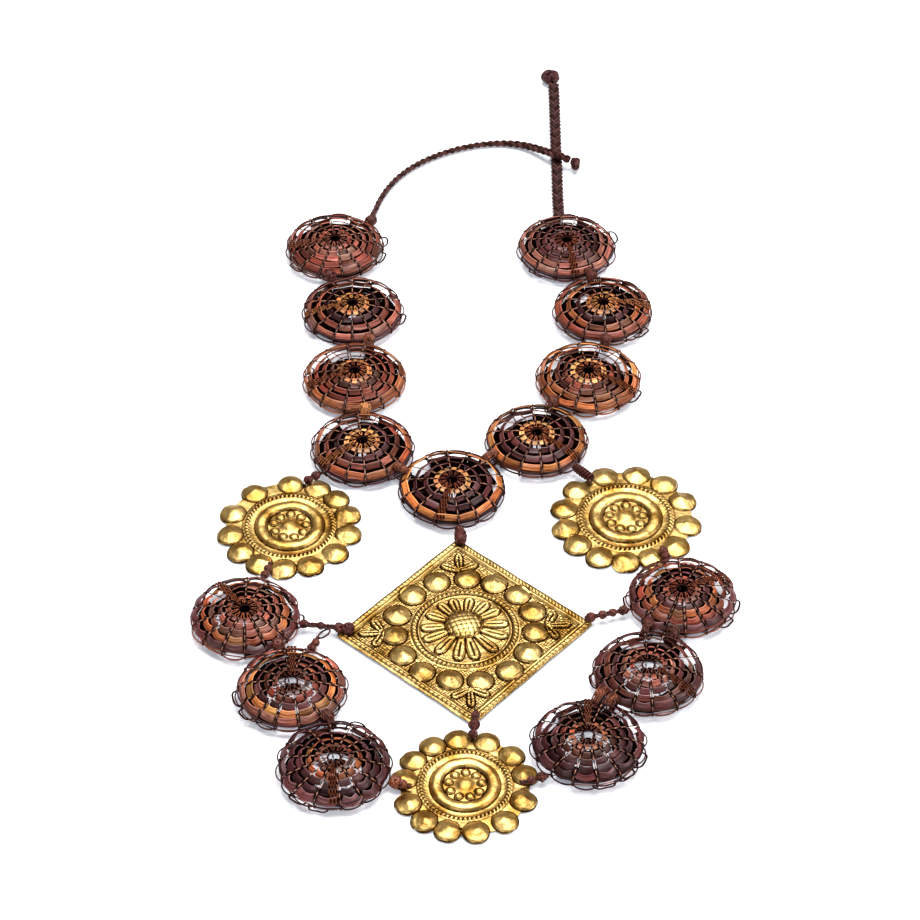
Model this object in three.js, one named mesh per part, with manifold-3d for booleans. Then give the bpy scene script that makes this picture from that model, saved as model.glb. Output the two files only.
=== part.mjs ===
// Bib necklace, lying flat: fifteen woven openwork medallions in two strands, three embossed brass
// rosettes, one embossed brass square hung by its corners, the knots that tie them together, and
// two braided cords that close the loop round the neck.
// Millimetres, +Z up. The floor is z = 0, and the origin is the middle of the bib without its cords.

import * as THREE from 'three';
import { mergeVertices } from 'three/addons/utils/BufferGeometryUtils.js';
import Module from 'manifold-3d';

const wasm = await Module();
wasm.setup();

// Woven medallions
const MEDALLION_DIAMETER = 39;
const MEDALLION_HEIGHT = 8.8;
const RIM_TOP = 4.1;
const RIM_BOTTOM = 2.2;
const WEB_THICKNESS = 1.0;
const RIM_THICKNESS = 1.4;
const EYE_DIAMETER = 4.4;
const SPOKE_WIDTH = 1.6;
const SPOKE_COUNT = 14;

// Brass sheet and its relief
const SHEET_THICKNESS = 1.0;
const LEFT_ROSETTE_DIAMETER = 54;
const RIGHT_ROSETTE_DIAMETER = 56.4;
const BOTTOM_ROSETTE_DIAMETER = 51.2;
const LOBE_HEIGHT = 2.9;
const ROPE_HEIGHT = 1.9;
const RING_HEIGHT = 2.7;
const BOSS_HEIGHT = 2.4;
const PLATE_SIDE = 65;
const PLATE_TURN = 3.5;
const PLATE_LIP = 3.4;
const PLATE_DOME_DIAMETER = 9.6;
const PLATE_DOME_HEIGHT = 3.0;
const PLATE_ROPE_DIAMETER = 39;
const PLATE_BOSS_DIAMETER = 13.4;
const PLATE_BOSS_HEIGHT = 3.4;
const PETAL_LENGTH = 8.6;
const PETAL_WIDTH = 3.0;
const PETAL_HEIGHT = 1.2;
const LEAF_LENGTH = 7.4;

// Knots and cords
const CLEARANCE = 0.3;
const KNOT_DIAMETER = 2.8;
const KNOT_REACH = 2.4;
const BRIDGE_DIAMETER = 2.5;
const COIL_DIAMETER = 3.8;
const LEFT_CORD_DIAMETER = 2.8;
const RIGHT_CORD_WIDTH = 5.0;
const RIGHT_CORD_THICKNESS = 3.4;
const LEFT_END_KNOT_DIAMETER = 6.0;
const RIGHT_END_KNOT_DIAMETER = 8.4;

// The inner strand, walked outwards from the centre medallion to each shoulder. Each row is placed
// from the row before it: bearing in degrees, gap between the rims, diameter as a share of
// MEDALLION_DIAMETER, and the turn of its web in degrees.
const LEFT_STRAND = [
  { name: 'medallion_left_4', bearing: 147.5, gap: 1.0, share: 0.985, turn: 6 },
  { name: 'medallion_left_3', bearing: 95.4, gap: 0.8, share: 1.005, turn: 12 },
  { name: 'medallion_left_2', bearing: 92.6, gap: 0.6, share: 1.0, turn: 3 },
  { name: 'medallion_left_1', bearing: 101.2, gap: 1.4, share: 0.995, turn: 9 },
];
const RIGHT_STRAND = [
  { name: 'medallion_right_4', bearing: 39.1, gap: 2.0, share: 0.99, turn: 4 },
  { name: 'medallion_right_3', bearing: 59.9, gap: 1.2, share: 1.025, turn: 10 },
  { name: 'medallion_right_2', bearing: 80.2, gap: 1.3, share: 0.99, turn: 0 },
  { name: 'medallion_right_1', bearing: 109.2, gap: 2.0, share: 1.0, turn: 8 },
];
const CENTRE_MEDALLION = { name: 'medallion_centre', share: 1.015, turn: 5 };

// What hangs from the inner strand: bearing in degrees and gap in millimetres.
const LEFT_ROSETTE_HANG = { bearing: 236.1, gap: 0.5 };
const RIGHT_ROSETTE_HANG = { bearing: -50, gap: 2.6 };
const PLATE_HANG = { bearing: -85, gap: 3.7 };
const BOTTOM_ROSETTE_HANG = { bearing: -98, gap: 3.1 };

// The outer strand spans from a side rosette to the bottom one. Each medallion takes its share of
// the strand's whole bend, and the bend is the one that makes the strand fit its two ends.
const LEFT_DROP = [
  { name: 'medallion_outer_left_1', bend: 0.44, gap: 4.9, share: 0.99, turn: 2 },
  { name: 'medallion_outer_left_2', bend: -0.03, gap: 0.6, share: 0.985, turn: 11 },
  { name: 'medallion_outer_left_3', bend: 0.59, gap: 0.4, share: 0.99, turn: 7 },
];
const RIGHT_DROP = [
  { name: 'medallion_outer_right_1', bend: 0.47, gap: 0.4, share: 0.985, turn: 1 },
  { name: 'medallion_outer_right_2', bend: 0.15, gap: 1.0, share: 0.995, turn: 5 },
  { name: 'medallion_outer_right_3', bend: 0.38, gap: 1.0, share: 0.99, turn: 9 },
];
const DROP_END_GAP = 0.4;

// Lobes of the rosettes and domes of the plate, beaten by hand: bearings of their middles in degrees.
const LEFT_LOBES = [91, 64, 40.5, 16, -11, -39, -68, -94, -118, -142, -168, 162.5, 128];
const RIGHT_LOBES = [108, 78, 50, 22, -10, -40, -67.5, -92, -116.5, -142, -165, 168, 140.5];
const BOTTOM_LOBES = [122, 97, 69, 40, 13, -19, -50, -80, -106.5, -131, -157, 172, 147.5];
const PLATE_DOMES = [88, 65, 42, 20, -3, -27, -52, -77.5, -102, -126, -150, -173, 164, 138, 113];

// The necklace's cord routes. The left one is measured from the knot on the left shoulder medallion,
// the right one from the rim of the right shoulder medallion. Chosen by hand.
const LEFT_CORD_ROUTE = [
  [0.3, 2.4, 0.1], [0.9, 5.6, -0.9], [1.6, 9.2, -1.75], [3.1, 14.6, -1.75], [5.0, 19.8, -1.75],
  [7.6, 25.2, -1.75], [10.8, 30.4, -1.75], [14.9, 35.4, -1.75], [19.8, 40.0, -1.75],
  [25.4, 44.0, -1.75], [31.6, 47.5, -1.75], [38.2, 50.2, -1.75], [44.8, 52.0, -1.75],
  [51.2, 52.8, -1.75], [57.2, 52.6, -1.7], [62.6, 51.0, -1.3], [67.2, 48.0, -0.4],
  [71.4, 44.2, 0.9], [75.2, 40.9, 1.85], [78.4, 39.0, 2.0], [81.2, 37.9, 1.2],
];
const RIGHT_CORD_ROUTE = [
  [-2.6, 0.0, 3.1], [-2.6, 3.6, 2.7], [-2.6, 8.0, 2.1], [-2.7, 13.0, 1.75], [-2.7, 19.0, 1.7],
  [-2.7, 25.0, 1.7], [-2.7, 31.0, 1.7], [-2.7, 37.0, 1.7], [-2.8, 43.0, 1.7], [-2.8, 49.0, 1.7],
  [-2.8, 55.0, 1.7], [-2.8, 61.0, 1.7], [-2.8, 67.0, 1.7], [-2.8, 73.0, 1.7], [-2.8, 79.0, 1.7],
  [-2.8, 85.0, 1.7], [-2.9, 91.0, 1.75],
];

// Finishes
const fibre = (tint) => new THREE.MeshStandardMaterial({ color: tint, roughness: 0.7, metalness: 0 });
const BROWN_FIBRE = fibre(0x5f3a30);
const PURPLE_FIBRE = fibre(0x4a2a2a);
const ORANGE_FIBRE = fibre(0x9a5a34);
const TIE_FIBRE = fibre(0x3a1d18);
const BRASS = new THREE.MeshStandardMaterial({ color: 0xb8923c, roughness: 0.35, metalness: 1 });

// Turns a closed geometry into a solid that can be joined and cut.
function toSolid(geometry) {
  const bare = geometry.clone();
  bare.deleteAttribute('normal');
  bare.deleteAttribute('uv');
  const merged = mergeVertices(bare, 1e-4);
  return new wasm.Manifold(new wasm.Mesh({
    numProp: 3,
    vertProperties: Float32Array.from(merged.attributes.position.array),
    triVerts: Uint32Array.from(merged.index.array),
  }));
}

// Turns a solid back into a geometry.
function toGeometry(solid) {
  const mesh = solid.getMesh();
  const geometry = new THREE.BufferGeometry();
  geometry.setAttribute('position', new THREE.BufferAttribute(mesh.vertProperties, 3));
  geometry.setIndex(new THREE.BufferAttribute(mesh.triVerts, 1));
  geometry.computeVertexNormals();
  return geometry;
}

// A turned form about Z from a profile of [radius, height] pairs.
function turned(profile, sides, turn = 0) {
  const points = profile.map(([radius, height]) => new THREE.Vector2(radius, height));
  const geometry = new THREE.LatheGeometry(points, sides);
  geometry.rotateX(Math.PI / 2);
  geometry.rotateZ(THREE.MathUtils.degToRad(turn));
  return geometry;
}

// The point at a bearing and a distance from another point of the floor plan.
function polar(from, bearing, distance) {
  const angle = THREE.MathUtils.degToRad(bearing);
  return new THREE.Vector2(from.x + distance * Math.cos(angle), from.y + distance * Math.sin(angle));
}

// Height of a medallion's upper web at a distance from its axis, for a web of the given radius.
const WEB_PROFILE = [
  { share: 0, fall: 0 },
  { share: 0.45, fall: 0.2 },
  { share: 1, fall: 1 },
];
const webHeight = (fall) => MEDALLION_HEIGHT - fall * (MEDALLION_HEIGHT - RIM_TOP);
function webTop(distance, radius) {
  const reach = Math.min(distance / radius, 1);
  const outer = Math.max(1, WEB_PROFILE.findIndex((row) => row.share >= reach));
  const [near, far] = [WEB_PROFILE[outer - 1], WEB_PROFILE[outer]];
  const blend = (reach - near.share) / (far.share - near.share);
  return webHeight(near.fall + blend * (far.fall - near.fall));
}

// A woven medallion: two webs that meet at the rim, hollow between them, with an eye through the
// middle and a window between every second pair of spokes.
const FOOT_SHARE = 0.72;
const WINDOW_INNER_SHARE = 0.5;
const WINDOW_OUTER_SHARE = 0.7;
function medallionGeometry(radius, turn) {
  const eye = EYE_DIAMETER / 2;
  const foot = FOOT_SHARE * radius;
  const shell = toSolid(turned([
    [eye, 0], [foot, 0], [radius, RIM_BOTTOM],
    ...WEB_PROFILE.slice(1).reverse().map((row) => [row.share * radius, webHeight(row.fall)]),
    [eye, MEDALLION_HEIGHT], [eye, 0],
  ], SPOKE_COUNT));
  const inner = eye + WEB_THICKNESS;
  const shoulder = WEB_PROFILE[1];
  const hollow = toSolid(turned([
    [inner, WEB_THICKNESS], [foot, WEB_THICKNESS],
    [radius - RIM_THICKNESS, (RIM_TOP + RIM_BOTTOM) / 2],
    [shoulder.share * radius, webHeight(shoulder.fall) - WEB_THICKNESS],
    [inner, MEDALLION_HEIGHT - 1.6 * WEB_THICKNESS], [inner, WEB_THICKNESS],
  ], SPOKE_COUNT));
  const halfStep = Math.PI / SPOKE_COUNT;
  const halfWidth = (reach) => reach * Math.tan(halfStep) - SPOKE_WIDTH / 2;
  const [near, far] = [WINDOW_INNER_SHARE * radius, WINDOW_OUTER_SHARE * radius];
  const outline = new THREE.Shape([
    new THREE.Vector2(near, -halfWidth(near)), new THREE.Vector2(far, -halfWidth(far)),
    new THREE.Vector2(far, halfWidth(far)), new THREE.Vector2(near, halfWidth(near)),
  ]);
  const windows = [];
  for (let index = 0; index < SPOKE_COUNT; index += 2) {
    const cutter = new THREE.ExtrudeGeometry(outline, { depth: MEDALLION_HEIGHT + 2, bevelEnabled: false });
    cutter.translate(0, 0, -1);
    cutter.rotateZ(2 * index * halfStep);
    windows.push(toSolid(cutter));
  }
  const openings = wasm.Manifold.union(windows);
  const geometry = toGeometry(shell.subtract(hollow).subtract(openings));
  geometry.rotateZ(THREE.MathUtils.degToRad(turn));
  return geometry;
}

// A dome with a thin straight foot, its underside on z = 0.
function dome(radius, height, sides, x, y) {
  const shoulder = SHEET_THICKNESS + 0.64 * (height - SHEET_THICKNESS);
  const geometry = turned([[0, 0], [radius, 0], [radius, SHEET_THICKNESS], [0.66 * radius, shoulder],
    [0, height]], sides);
  return toSolid(geometry.translate(x, y, 0));
}

// An embossed rosette: a scalloped sheet with thirteen domed lobes, a rope ring, a raised ring,
// nine small bosses and one in the middle.
const LOBE_RADIUS_SHARE = 0.178;
const LOBE_PLACE_SHARE = 0.822;
const FIELD_SHARE = 0.74;
const ROPE_SHARE = 0.617;
const RING_OUTER_SHARE = 0.47;
const RING_INNER_SHARE = 0.316;
const BOSS_PLACE_SHARE = 0.226;
const SMALL_BOSS_SHARE = 0.056;
const MIDDLE_BOSS_SHARE = 0.105;
const BOSS_COUNT = 9;
function rosetteGeometry(radius, lobes) {
  const at = (share) => share * radius;
  const middle = SHEET_THICKNESS + 0.3;
  const pieces = [
    toSolid(turned([[0, 0], [at(FIELD_SHARE), 0], [at(FIELD_SHARE), SHEET_THICKNESS],
      [0, SHEET_THICKNESS]], 24)),
    toSolid(turned([[0, 0.2], [at(ROPE_SHARE), 0.2], [at(ROPE_SHARE), SHEET_THICKNESS],
      [at(ROPE_SHARE - 0.05), ROPE_HEIGHT], [at(ROPE_SHARE - 0.1), middle],
      [at(RING_OUTER_SHARE), middle], [at((RING_OUTER_SHARE + RING_INNER_SHARE) / 2), RING_HEIGHT],
      [at(RING_INNER_SHARE), middle], [0, middle]], 18)),
  ];
  for (const bearing of lobes) {
    const place = polar(new THREE.Vector2(), bearing, at(LOBE_PLACE_SHARE));
    pieces.push(dome(at(LOBE_RADIUS_SHARE), LOBE_HEIGHT, 7, place.x, place.y));
  }
  for (let index = 0; index < BOSS_COUNT; index += 1) {
    const place = polar(new THREE.Vector2(), index * 360 / BOSS_COUNT, at(BOSS_PLACE_SHARE));
    pieces.push(dome(at(SMALL_BOSS_SHARE), BOSS_HEIGHT, 4, place.x, place.y));
  }
  pieces.push(dome(at(MIDDLE_BOSS_SHARE), BOSS_HEIGHT, 8, 0, 0));
  return toGeometry(wasm.Manifold.union(pieces));
}

// A petal or leaf: a low long mound that points outwards at a bearing from a point.
function petal(from, bearing, start, length, width) {
  const geometry = turned([[0, 0], [1, 0], [1, 0.25], [0.55, 1], [0, 1]], 5);
  geometry.scale(length / 2, width / 2, SHEET_THICKNESS + PETAL_HEIGHT);
  geometry.rotateZ(THREE.MathUtils.degToRad(bearing));
  const middle = polar(from, bearing, start + length / 2);
  geometry.translate(middle.x, middle.y, 0);
  return toSolid(geometry);
}

// The embossed square, with its corners on the axes: a lipped sheet, a ring of domes round a rope
// ring, a flower in the middle and a leaf in each corner. Two corners are clipped.
const PLATE_RADIUS = PLATE_SIDE / Math.SQRT2;
const PLATE_CLIPS = [2.4, 3.4, 0.5, 0.5];
const PLATE_PETALS = 14;
function clippedSquare(reach, clips) {
  const corners = clips.map((clip, index) => [
    polar(new THREE.Vector2(reach - clip, 0), -90, clip),
    polar(new THREE.Vector2(reach - clip, 0), 90, clip),
  ].map((point) => point.rotateAround(new THREE.Vector2(), (index * Math.PI) / 2)));
  return corners.flat();
}
function plateGeometry() {
  const clips = [PLATE_CLIPS[1], PLATE_CLIPS[0], PLATE_CLIPS[2], PLATE_CLIPS[3]];
  const sheet = new THREE.ExtrudeGeometry(new THREE.Shape(clippedSquare(PLATE_RADIUS, clips)),
    { depth: SHEET_THICKNESS + 0.5, bevelEnabled: false });
  const lip = PLATE_RADIUS - PLATE_LIP * Math.SQRT2;
  const recess = new THREE.ExtrudeGeometry(new THREE.Shape(clippedSquare(lip, [1, 1, 1, 1])),
    { depth: 2, bevelEnabled: false });
  recess.translate(0, 0, SHEET_THICKNESS);
  const ropeRadius = PLATE_ROPE_DIAMETER / 2;
  const centre = new THREE.Vector2();
  const pieces = [
    toSolid(sheet).subtract(toSolid(recess)),
    toSolid(turned([[ropeRadius - 2.4, 0.2], [ropeRadius, 0.2], [ropeRadius, SHEET_THICKNESS],
      [ropeRadius - 1.2, ROPE_HEIGHT], [ropeRadius - 2.4, SHEET_THICKNESS], [ropeRadius - 2.4, 0.2]], 24)),
    dome(PLATE_BOSS_DIAMETER / 2, PLATE_BOSS_HEIGHT, 10, 0, 0),
  ];
  const domeReach = ropeRadius + 1.2 + PLATE_DOME_DIAMETER / 2;
  for (const bearing of PLATE_DOMES) {
    const place = polar(centre, bearing - PLATE_TURN, domeReach);
    pieces.push(dome(PLATE_DOME_DIAMETER / 2, PLATE_DOME_HEIGHT, 7, place.x, place.y));
  }
  for (let index = 0; index < PLATE_PETALS; index += 1) {
    pieces.push(petal(centre, (index * 360) / PLATE_PETALS, PLATE_BOSS_DIAMETER / 2, PETAL_LENGTH,
      PETAL_WIDTH));
  }
  for (let corner = 0; corner < 4; corner += 1) {
    const root = polar(centre, corner * 90, domeReach + PLATE_DOME_DIAMETER / 2 - 1.4);
    for (const spread of [-62, 0, 62]) {
      pieces.push(petal(root, corner * 90 + spread, 0.4, LEAF_LENGTH - 0.02 * Math.abs(spread), 2.6));
    }
  }
  const geometry = toGeometry(wasm.Manifold.union(pieces));
  geometry.rotateZ(THREE.MathUtils.degToRad(PLATE_TURN));
  return geometry;
}

// A knot drawn out between two points: a six-sided spindle.
function spindleGeometry(start, end, diameter) {
  const length = start.distanceTo(end);
  const radius = diameter / 2;
  const geometry = turned([[0, 0], [0.66 * radius, 0], [radius, length / 2], [0.66 * radius, length],
    [0, length]], 6);
  const along = new THREE.Vector3().subVectors(end, start).normalize();
  geometry.applyQuaternion(new THREE.Quaternion().setFromUnitVectors(new THREE.Vector3(0, 0, 1), along));
  geometry.translate(start.x, start.y, start.z);
  return geometry;
}

// A round knot at the end of a cord.
function ballGeometry(place, width, depth, height) {
  const geometry = new THREE.IcosahedronGeometry(0.5, 1);
  geometry.scale(width, depth, height);
  geometry.translate(place.x, place.y, place.z);
  return geometry;
}

// A cord laid along a route: an oval section swept along a smooth curve.
function cordGeometry(route, width, thickness, steps, sides) {
  const section = new THREE.Shape();
  for (let index = 0; index < sides; index += 1) {
    const angle = ((index + 0.5) * 2 * Math.PI) / sides;
    const point = new THREE.Vector2((width / 2) * Math.cos(angle), (thickness / 2) * Math.sin(angle));
    if (index === 0) section.moveTo(point.x, point.y);
    else section.lineTo(point.x, point.y);
  }
  section.closePath();
  const curve = new THREE.CatmullRomCurve3(route, false, 'centripetal');
  return new THREE.ExtrudeGeometry(section, { steps, extrudePath: curve, bevelEnabled: false });
}

// The plan: every medallion and sheet gets its centre and radius.
const plan = new Map();
function addRound(name, centre, radius, turn = 0) {
  plan.set(name, { centre, radius, turn });
  return plan.get(name);
}
const shareRadius = (share) => (share * MEDALLION_DIAMETER) / 2;

const centreMedallion = addRound(CENTRE_MEDALLION.name, new THREE.Vector2(0, 0),
  shareRadius(CENTRE_MEDALLION.share), CENTRE_MEDALLION.turn);
for (const strand of [LEFT_STRAND, RIGHT_STRAND]) {
  let last = centreMedallion;
  for (const row of strand) {
    const radius = shareRadius(row.share);
    last = addRound(row.name, polar(last.centre, row.bearing, last.radius + row.gap + radius), radius,
      row.turn);
  }
}

function hang(from, place, radius) {
  return polar(from.centre, place.bearing, from.radius + place.gap + radius);
}
const leftRosette = addRound('rosette_left', hang(plan.get('medallion_left_4'), LEFT_ROSETTE_HANG,
  LEFT_ROSETTE_DIAMETER / 2), LEFT_ROSETTE_DIAMETER / 2);
const rightRosette = addRound('rosette_right', hang(plan.get('medallion_right_4'), RIGHT_ROSETTE_HANG,
  RIGHT_ROSETTE_DIAMETER / 2), RIGHT_ROSETTE_DIAMETER / 2);
const plate = { centre: hang(centreMedallion, PLATE_HANG, PLATE_RADIUS), radius: PLATE_RADIUS };
const plateCorner = (quarter, inset) => polar(plate.centre, quarter * 90 + PLATE_TURN,
  PLATE_RADIUS - inset);
const bottomRosette = addRound('rosette_bottom', hang({ centre: plateCorner(3, 0), radius: 0 },
  BOTTOM_ROSETTE_HANG, BOTTOM_ROSETTE_DIAMETER / 2), BOTTOM_ROSETTE_DIAMETER / 2);

// Lays a drop of medallions from one round piece to another: the whole bend is searched for so that
// the strand, link by link, ends at the centre of the last piece.
function layDrop(from, to, rows, side) {
  const radii = [from.radius, ...rows.map((row) => shareRadius(row.share)), to.radius];
  const gaps = [...rows.map((row) => row.gap), DROP_END_GAP];
  const links = gaps.map((gap, index) => radii[index] + gap + radii[index + 1]);
  const walk = (bend) => {
    let heading = 0;
    const points = [new THREE.Vector2(0, 0)];
    links.forEach((link, index) => {
      points.push(polar(points[index], heading, link));
      heading += index < rows.length ? side * bend * rows[index].bend : 0;
    });
    return points;
  };
  const span = from.centre.distanceTo(to.centre);
  let [low, high] = [0, 170];
  for (let pass = 0; pass < 50; pass += 1) {
    const bend = (low + high) / 2;
    if (walk(bend).at(-1).length() > span) low = bend;
    else high = bend;
  }
  const points = walk(low);
  const turn = to.centre.clone().sub(from.centre).angle() - points.at(-1).angle();
  rows.forEach((row, index) => {
    const place = points[index + 1].clone().rotateAround(new THREE.Vector2(), turn).add(from.centre);
    addRound(row.name, place, radii[index + 1], row.turn);
  });
}
layDrop(leftRosette, bottomRosette, LEFT_DROP, 1);
layDrop(rightRosette, bottomRosette, RIGHT_DROP, -1);

// The necklace as a group of named pieces.
const necklace = new THREE.Group();
function addMesh(name, geometry, material) {
  const mesh = new THREE.Mesh(geometry, material);
  mesh.name = name;
  necklace.add(mesh);
  return mesh;
}

const MEDALLION_FINISH = {
  medallion_left_1: BROWN_FIBRE,
  medallion_left_2: ORANGE_FIBRE,
  medallion_left_3: ORANGE_FIBRE,
  medallion_right_2: ORANGE_FIBRE,
  medallion_right_3: ORANGE_FIBRE,
  medallion_outer_left_3: PURPLE_FIBRE,
  medallion_outer_right_3: PURPLE_FIBRE,
};
for (const [name, piece] of plan) {
  if (!name.startsWith('medallion')) continue;
  const mesh = addMesh(name, medallionGeometry(piece.radius, piece.turn),
    MEDALLION_FINISH[name] ?? BROWN_FIBRE);
  mesh.position.set(piece.centre.x, piece.centre.y, 0);
}

const ROSETTE_LOBES = {
  rosette_left: LEFT_LOBES,
  rosette_right: RIGHT_LOBES,
  rosette_bottom: BOTTOM_LOBES,
};
for (const [name, lobes] of Object.entries(ROSETTE_LOBES)) {
  const piece = plan.get(name);
  const mesh = addMesh(name, rosetteGeometry(piece.radius, lobes), BRASS);
  mesh.position.set(piece.centre.x, piece.centre.y, 0);
}
addMesh('square_plate', plateGeometry(), BRASS).position.set(plate.centre.x, plate.centre.y, 0);

// Knots that lie in the dip between two neighbouring rims. The slide is how far the knot sits to
// the left of the line from the first centre to the second.
const RIM_KNOTS = [
  { name: 'knot_left_1_2', from: 'medallion_left_1', to: 'medallion_left_2', slide: -5.3 },
  { name: 'knot_left_2_3', from: 'medallion_left_2', to: 'medallion_left_3', slide: 6 },
  { name: 'knot_left_3_4', from: 'medallion_left_3', to: 'medallion_left_4', slide: 2.5 },
  { name: 'knot_left_4_centre', from: 'medallion_left_4', to: 'medallion_centre', slide: -3.3 },
  { name: 'knot_centre_right_4', from: 'medallion_centre', to: 'medallion_right_4', slide: 2.7 },
  { name: 'knot_right_4_3', from: 'medallion_right_4', to: 'medallion_right_3', slide: 3.9 },
  { name: 'knot_right_3_2', from: 'medallion_right_3', to: 'medallion_right_2', slide: -3.9 },
  { name: 'knot_right_2_1', from: 'medallion_right_2', to: 'medallion_right_1', slide: -2.5 },
  { name: 'knot_outer_left_1_2', from: 'medallion_outer_left_1', to: 'medallion_outer_left_2', slide: 4 },
  { name: 'knot_outer_left_2_3', from: 'medallion_outer_left_2', to: 'medallion_outer_left_3', slide: 6 },
  { name: 'knot_outer_right_1_2', from: 'medallion_outer_right_2', to: 'medallion_outer_right_1', slide: 6.5 },
  { name: 'knot_outer_right_1_2_b', from: 'medallion_outer_right_2', to: 'medallion_outer_right_1', slide: -3 },
  { name: 'knot_outer_right_2_3', from: 'medallion_outer_right_3', to: 'medallion_outer_right_2', slide: 2.5 },
  { name: 'knot_outer_right_2_3_b', from: 'medallion_outer_right_3', to: 'medallion_outer_right_2', slide: 7.5 },
];
function addRimKnot({ name, from, to, slide }) {
  const [first, second] = [plan.get(from), plan.get(to)];
  const along = second.centre.clone().sub(first.centre);
  const span = along.length();
  along.normalize();
  const across = new THREE.Vector2(-along.y, along.x);
  const rims = [Math.sqrt(first.radius ** 2 - slide ** 2), span - Math.sqrt(second.radius ** 2 - slide ** 2)];
  const [start, end] = [rims[0] - KNOT_REACH, rims[1] + KNOT_REACH];
  const radius = KNOT_DIAMETER / 2;
  let height = RIM_TOP + CLEARANCE + radius;
  for (const [reach, piece, thickness] of [[start, first, 0.66], [(start + rims[0]) / 2, first, 0.85],
    [span - end, second, 0.66], [span - (end + rims[1]) / 2, second, 0.85]]) {
    const inner = Math.hypot(reach, Math.abs(slide) - thickness * radius);
    height = Math.max(height, webTop(inner, piece.radius) + CLEARANCE + thickness * radius);
  }
  const at = (reach) => {
    const point = first.centre.clone().addScaledVector(along, reach).addScaledVector(across, slide);
    return new THREE.Vector3(point.x, point.y, height);
  };
  addMesh(name, spindleGeometry(at(start), at(end), KNOT_DIAMETER), TIE_FIBRE);
}
RIM_KNOTS.forEach(addRimKnot);

// Ties that run from the side of a medallion's rim on to a brass sheet, through a hole near its edge.
const RIM_MIDDLE = (RIM_TOP + RIM_BOTTOM) / 2;
function rimPoint(piece, towards, height, swing = 0) {
  const out = towards.clone().sub(piece.centre).normalize();
  out.rotateAround(new THREE.Vector2(), THREE.MathUtils.degToRad(swing));
  const point = piece.centre.clone().addScaledVector(out, piece.radius + CLEARANCE + 0.1);
  return new THREE.Vector3(point.x, point.y, height);
}
function addSheetTie(name, medallion, hole, diameter, swing = 0) {
  const end = new THREE.Vector3(hole.x, hole.y, SHEET_THICKNESS + 0.5 + CLEARANCE + diameter / 2);
  const start = rimPoint(plan.get(medallion), hole, Math.max(RIM_MIDDLE, end.z), swing);
  addMesh(name, spindleGeometry(start, end, diameter), TIE_FIBRE);
}
const rosetteHole = (rosette, bearing, share) => polar(rosette.centre, bearing, share * rosette.radius);
const HOLE_INSET = 4.5;
addSheetTie('tie_left_rosette_top', 'medallion_left_4', rosetteHole(leftRosette, 77.4, 0.8),
  BRIDGE_DIAMETER);
addSheetTie('tie_right_rosette_coil', 'medallion_right_4', rosetteHole(rightRosette, 124, 0.74),
  COIL_DIAMETER);
addSheetTie('tie_left_rosette_bottom', 'medallion_outer_left_1', rosetteHole(leftRosette, -106, 0.8),
  BRIDGE_DIAMETER);
addSheetTie('tie_right_rosette_bottom', 'medallion_outer_right_1', rosetteHole(rightRosette, -54, 0.76),
  BRIDGE_DIAMETER);
addSheetTie('tie_bottom_rosette_left', 'medallion_outer_left_3', rosetteHole(bottomRosette, -172.5, 0.72),
  BRIDGE_DIAMETER);
addSheetTie('tie_bottom_rosette_right', 'medallion_outer_right_3', rosetteHole(bottomRosette, -3, 0.72),
  BRIDGE_DIAMETER, 9);
addSheetTie('tie_plate_top', 'medallion_centre', plateCorner(1, HOLE_INSET), BRIDGE_DIAMETER + 0.6);
addSheetTie('tie_plate_right', 'medallion_outer_right_1', plateCorner(0, HOLE_INSET), BRIDGE_DIAMETER);
addSheetTie('tie_plate_left', 'medallion_outer_left_1', plateCorner(2, HOLE_INSET), BRIDGE_DIAMETER);

// The tie from the plate's lowest corner to the bottom rosette lies on both sheets.
const overSheet = (point) => new THREE.Vector3(point.x, point.y,
  SHEET_THICKNESS + 0.5 + CLEARANCE + BRIDGE_DIAMETER / 2);
addMesh('tie_plate_bottom', spindleGeometry(overSheet(plateCorner(3, HOLE_INSET)),
  overSheet(rosetteHole(bottomRosette, 83, 0.78)), BRIDGE_DIAMETER), TIE_FIBRE);

// The side loop from the middle of the left tie down to the rim of the next medallion.
const leftTieMiddle = polar(plateCorner(2, 0), 180, 7.5);
const loopStart = new THREE.Vector2(leftTieMiddle.x, leftTieMiddle.y - BRIDGE_DIAMETER - 1.2);
const loopEnd = rimPoint(plan.get('medallion_outer_left_2'), loopStart, RIM_MIDDLE);
addMesh('tie_plate_left_loop', spindleGeometry(new THREE.Vector3(loopStart.x, loopStart.y, RIM_MIDDLE),
  loopEnd, BRIDGE_DIAMETER), TIE_FIBRE);

// The two cords and their knots.
const leftShoulder = plan.get('medallion_left_1');
const rightShoulder = plan.get('medallion_right_1');
const ROOT_KNOT = { bearing: 51, width: 5.4, depth: 4.6, height: 4.8 };
const rootReach = leftShoulder.radius + CLEARANCE + ROOT_KNOT.depth / 2 + 0.3;
const rootPlace = polar(leftShoulder.centre, ROOT_KNOT.bearing, rootReach);
const rootKnot = new THREE.Vector3(rootPlace.x, rootPlace.y, RIM_MIDDLE);
addMesh('knot_cord_root', ballGeometry(rootKnot, ROOT_KNOT.width, ROOT_KNOT.depth, ROOT_KNOT.height),
  TIE_FIBRE);

const fromPoint = (base, route) => route.map(([x, y, z]) => new THREE.Vector3(base.x + x, base.y + y,
  base.z + z));
const leftRoute = fromPoint(rootKnot, LEFT_CORD_ROUTE);
addMesh('left_cord', cordGeometry(leftRoute, LEFT_CORD_DIAMETER, LEFT_CORD_DIAMETER, 28, 8), TIE_FIBRE);
const leftEnd = leftRoute.at(-1).clone().add(new THREE.Vector3(2.6, -1.2, -0.9));
addMesh('left_cord_knot', ballGeometry(leftEnd, 0.78 * LEFT_END_KNOT_DIAMETER,
  1.15 * LEFT_END_KNOT_DIAMETER, LEFT_END_KNOT_DIAMETER - 0.6), TIE_FIBRE);

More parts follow.
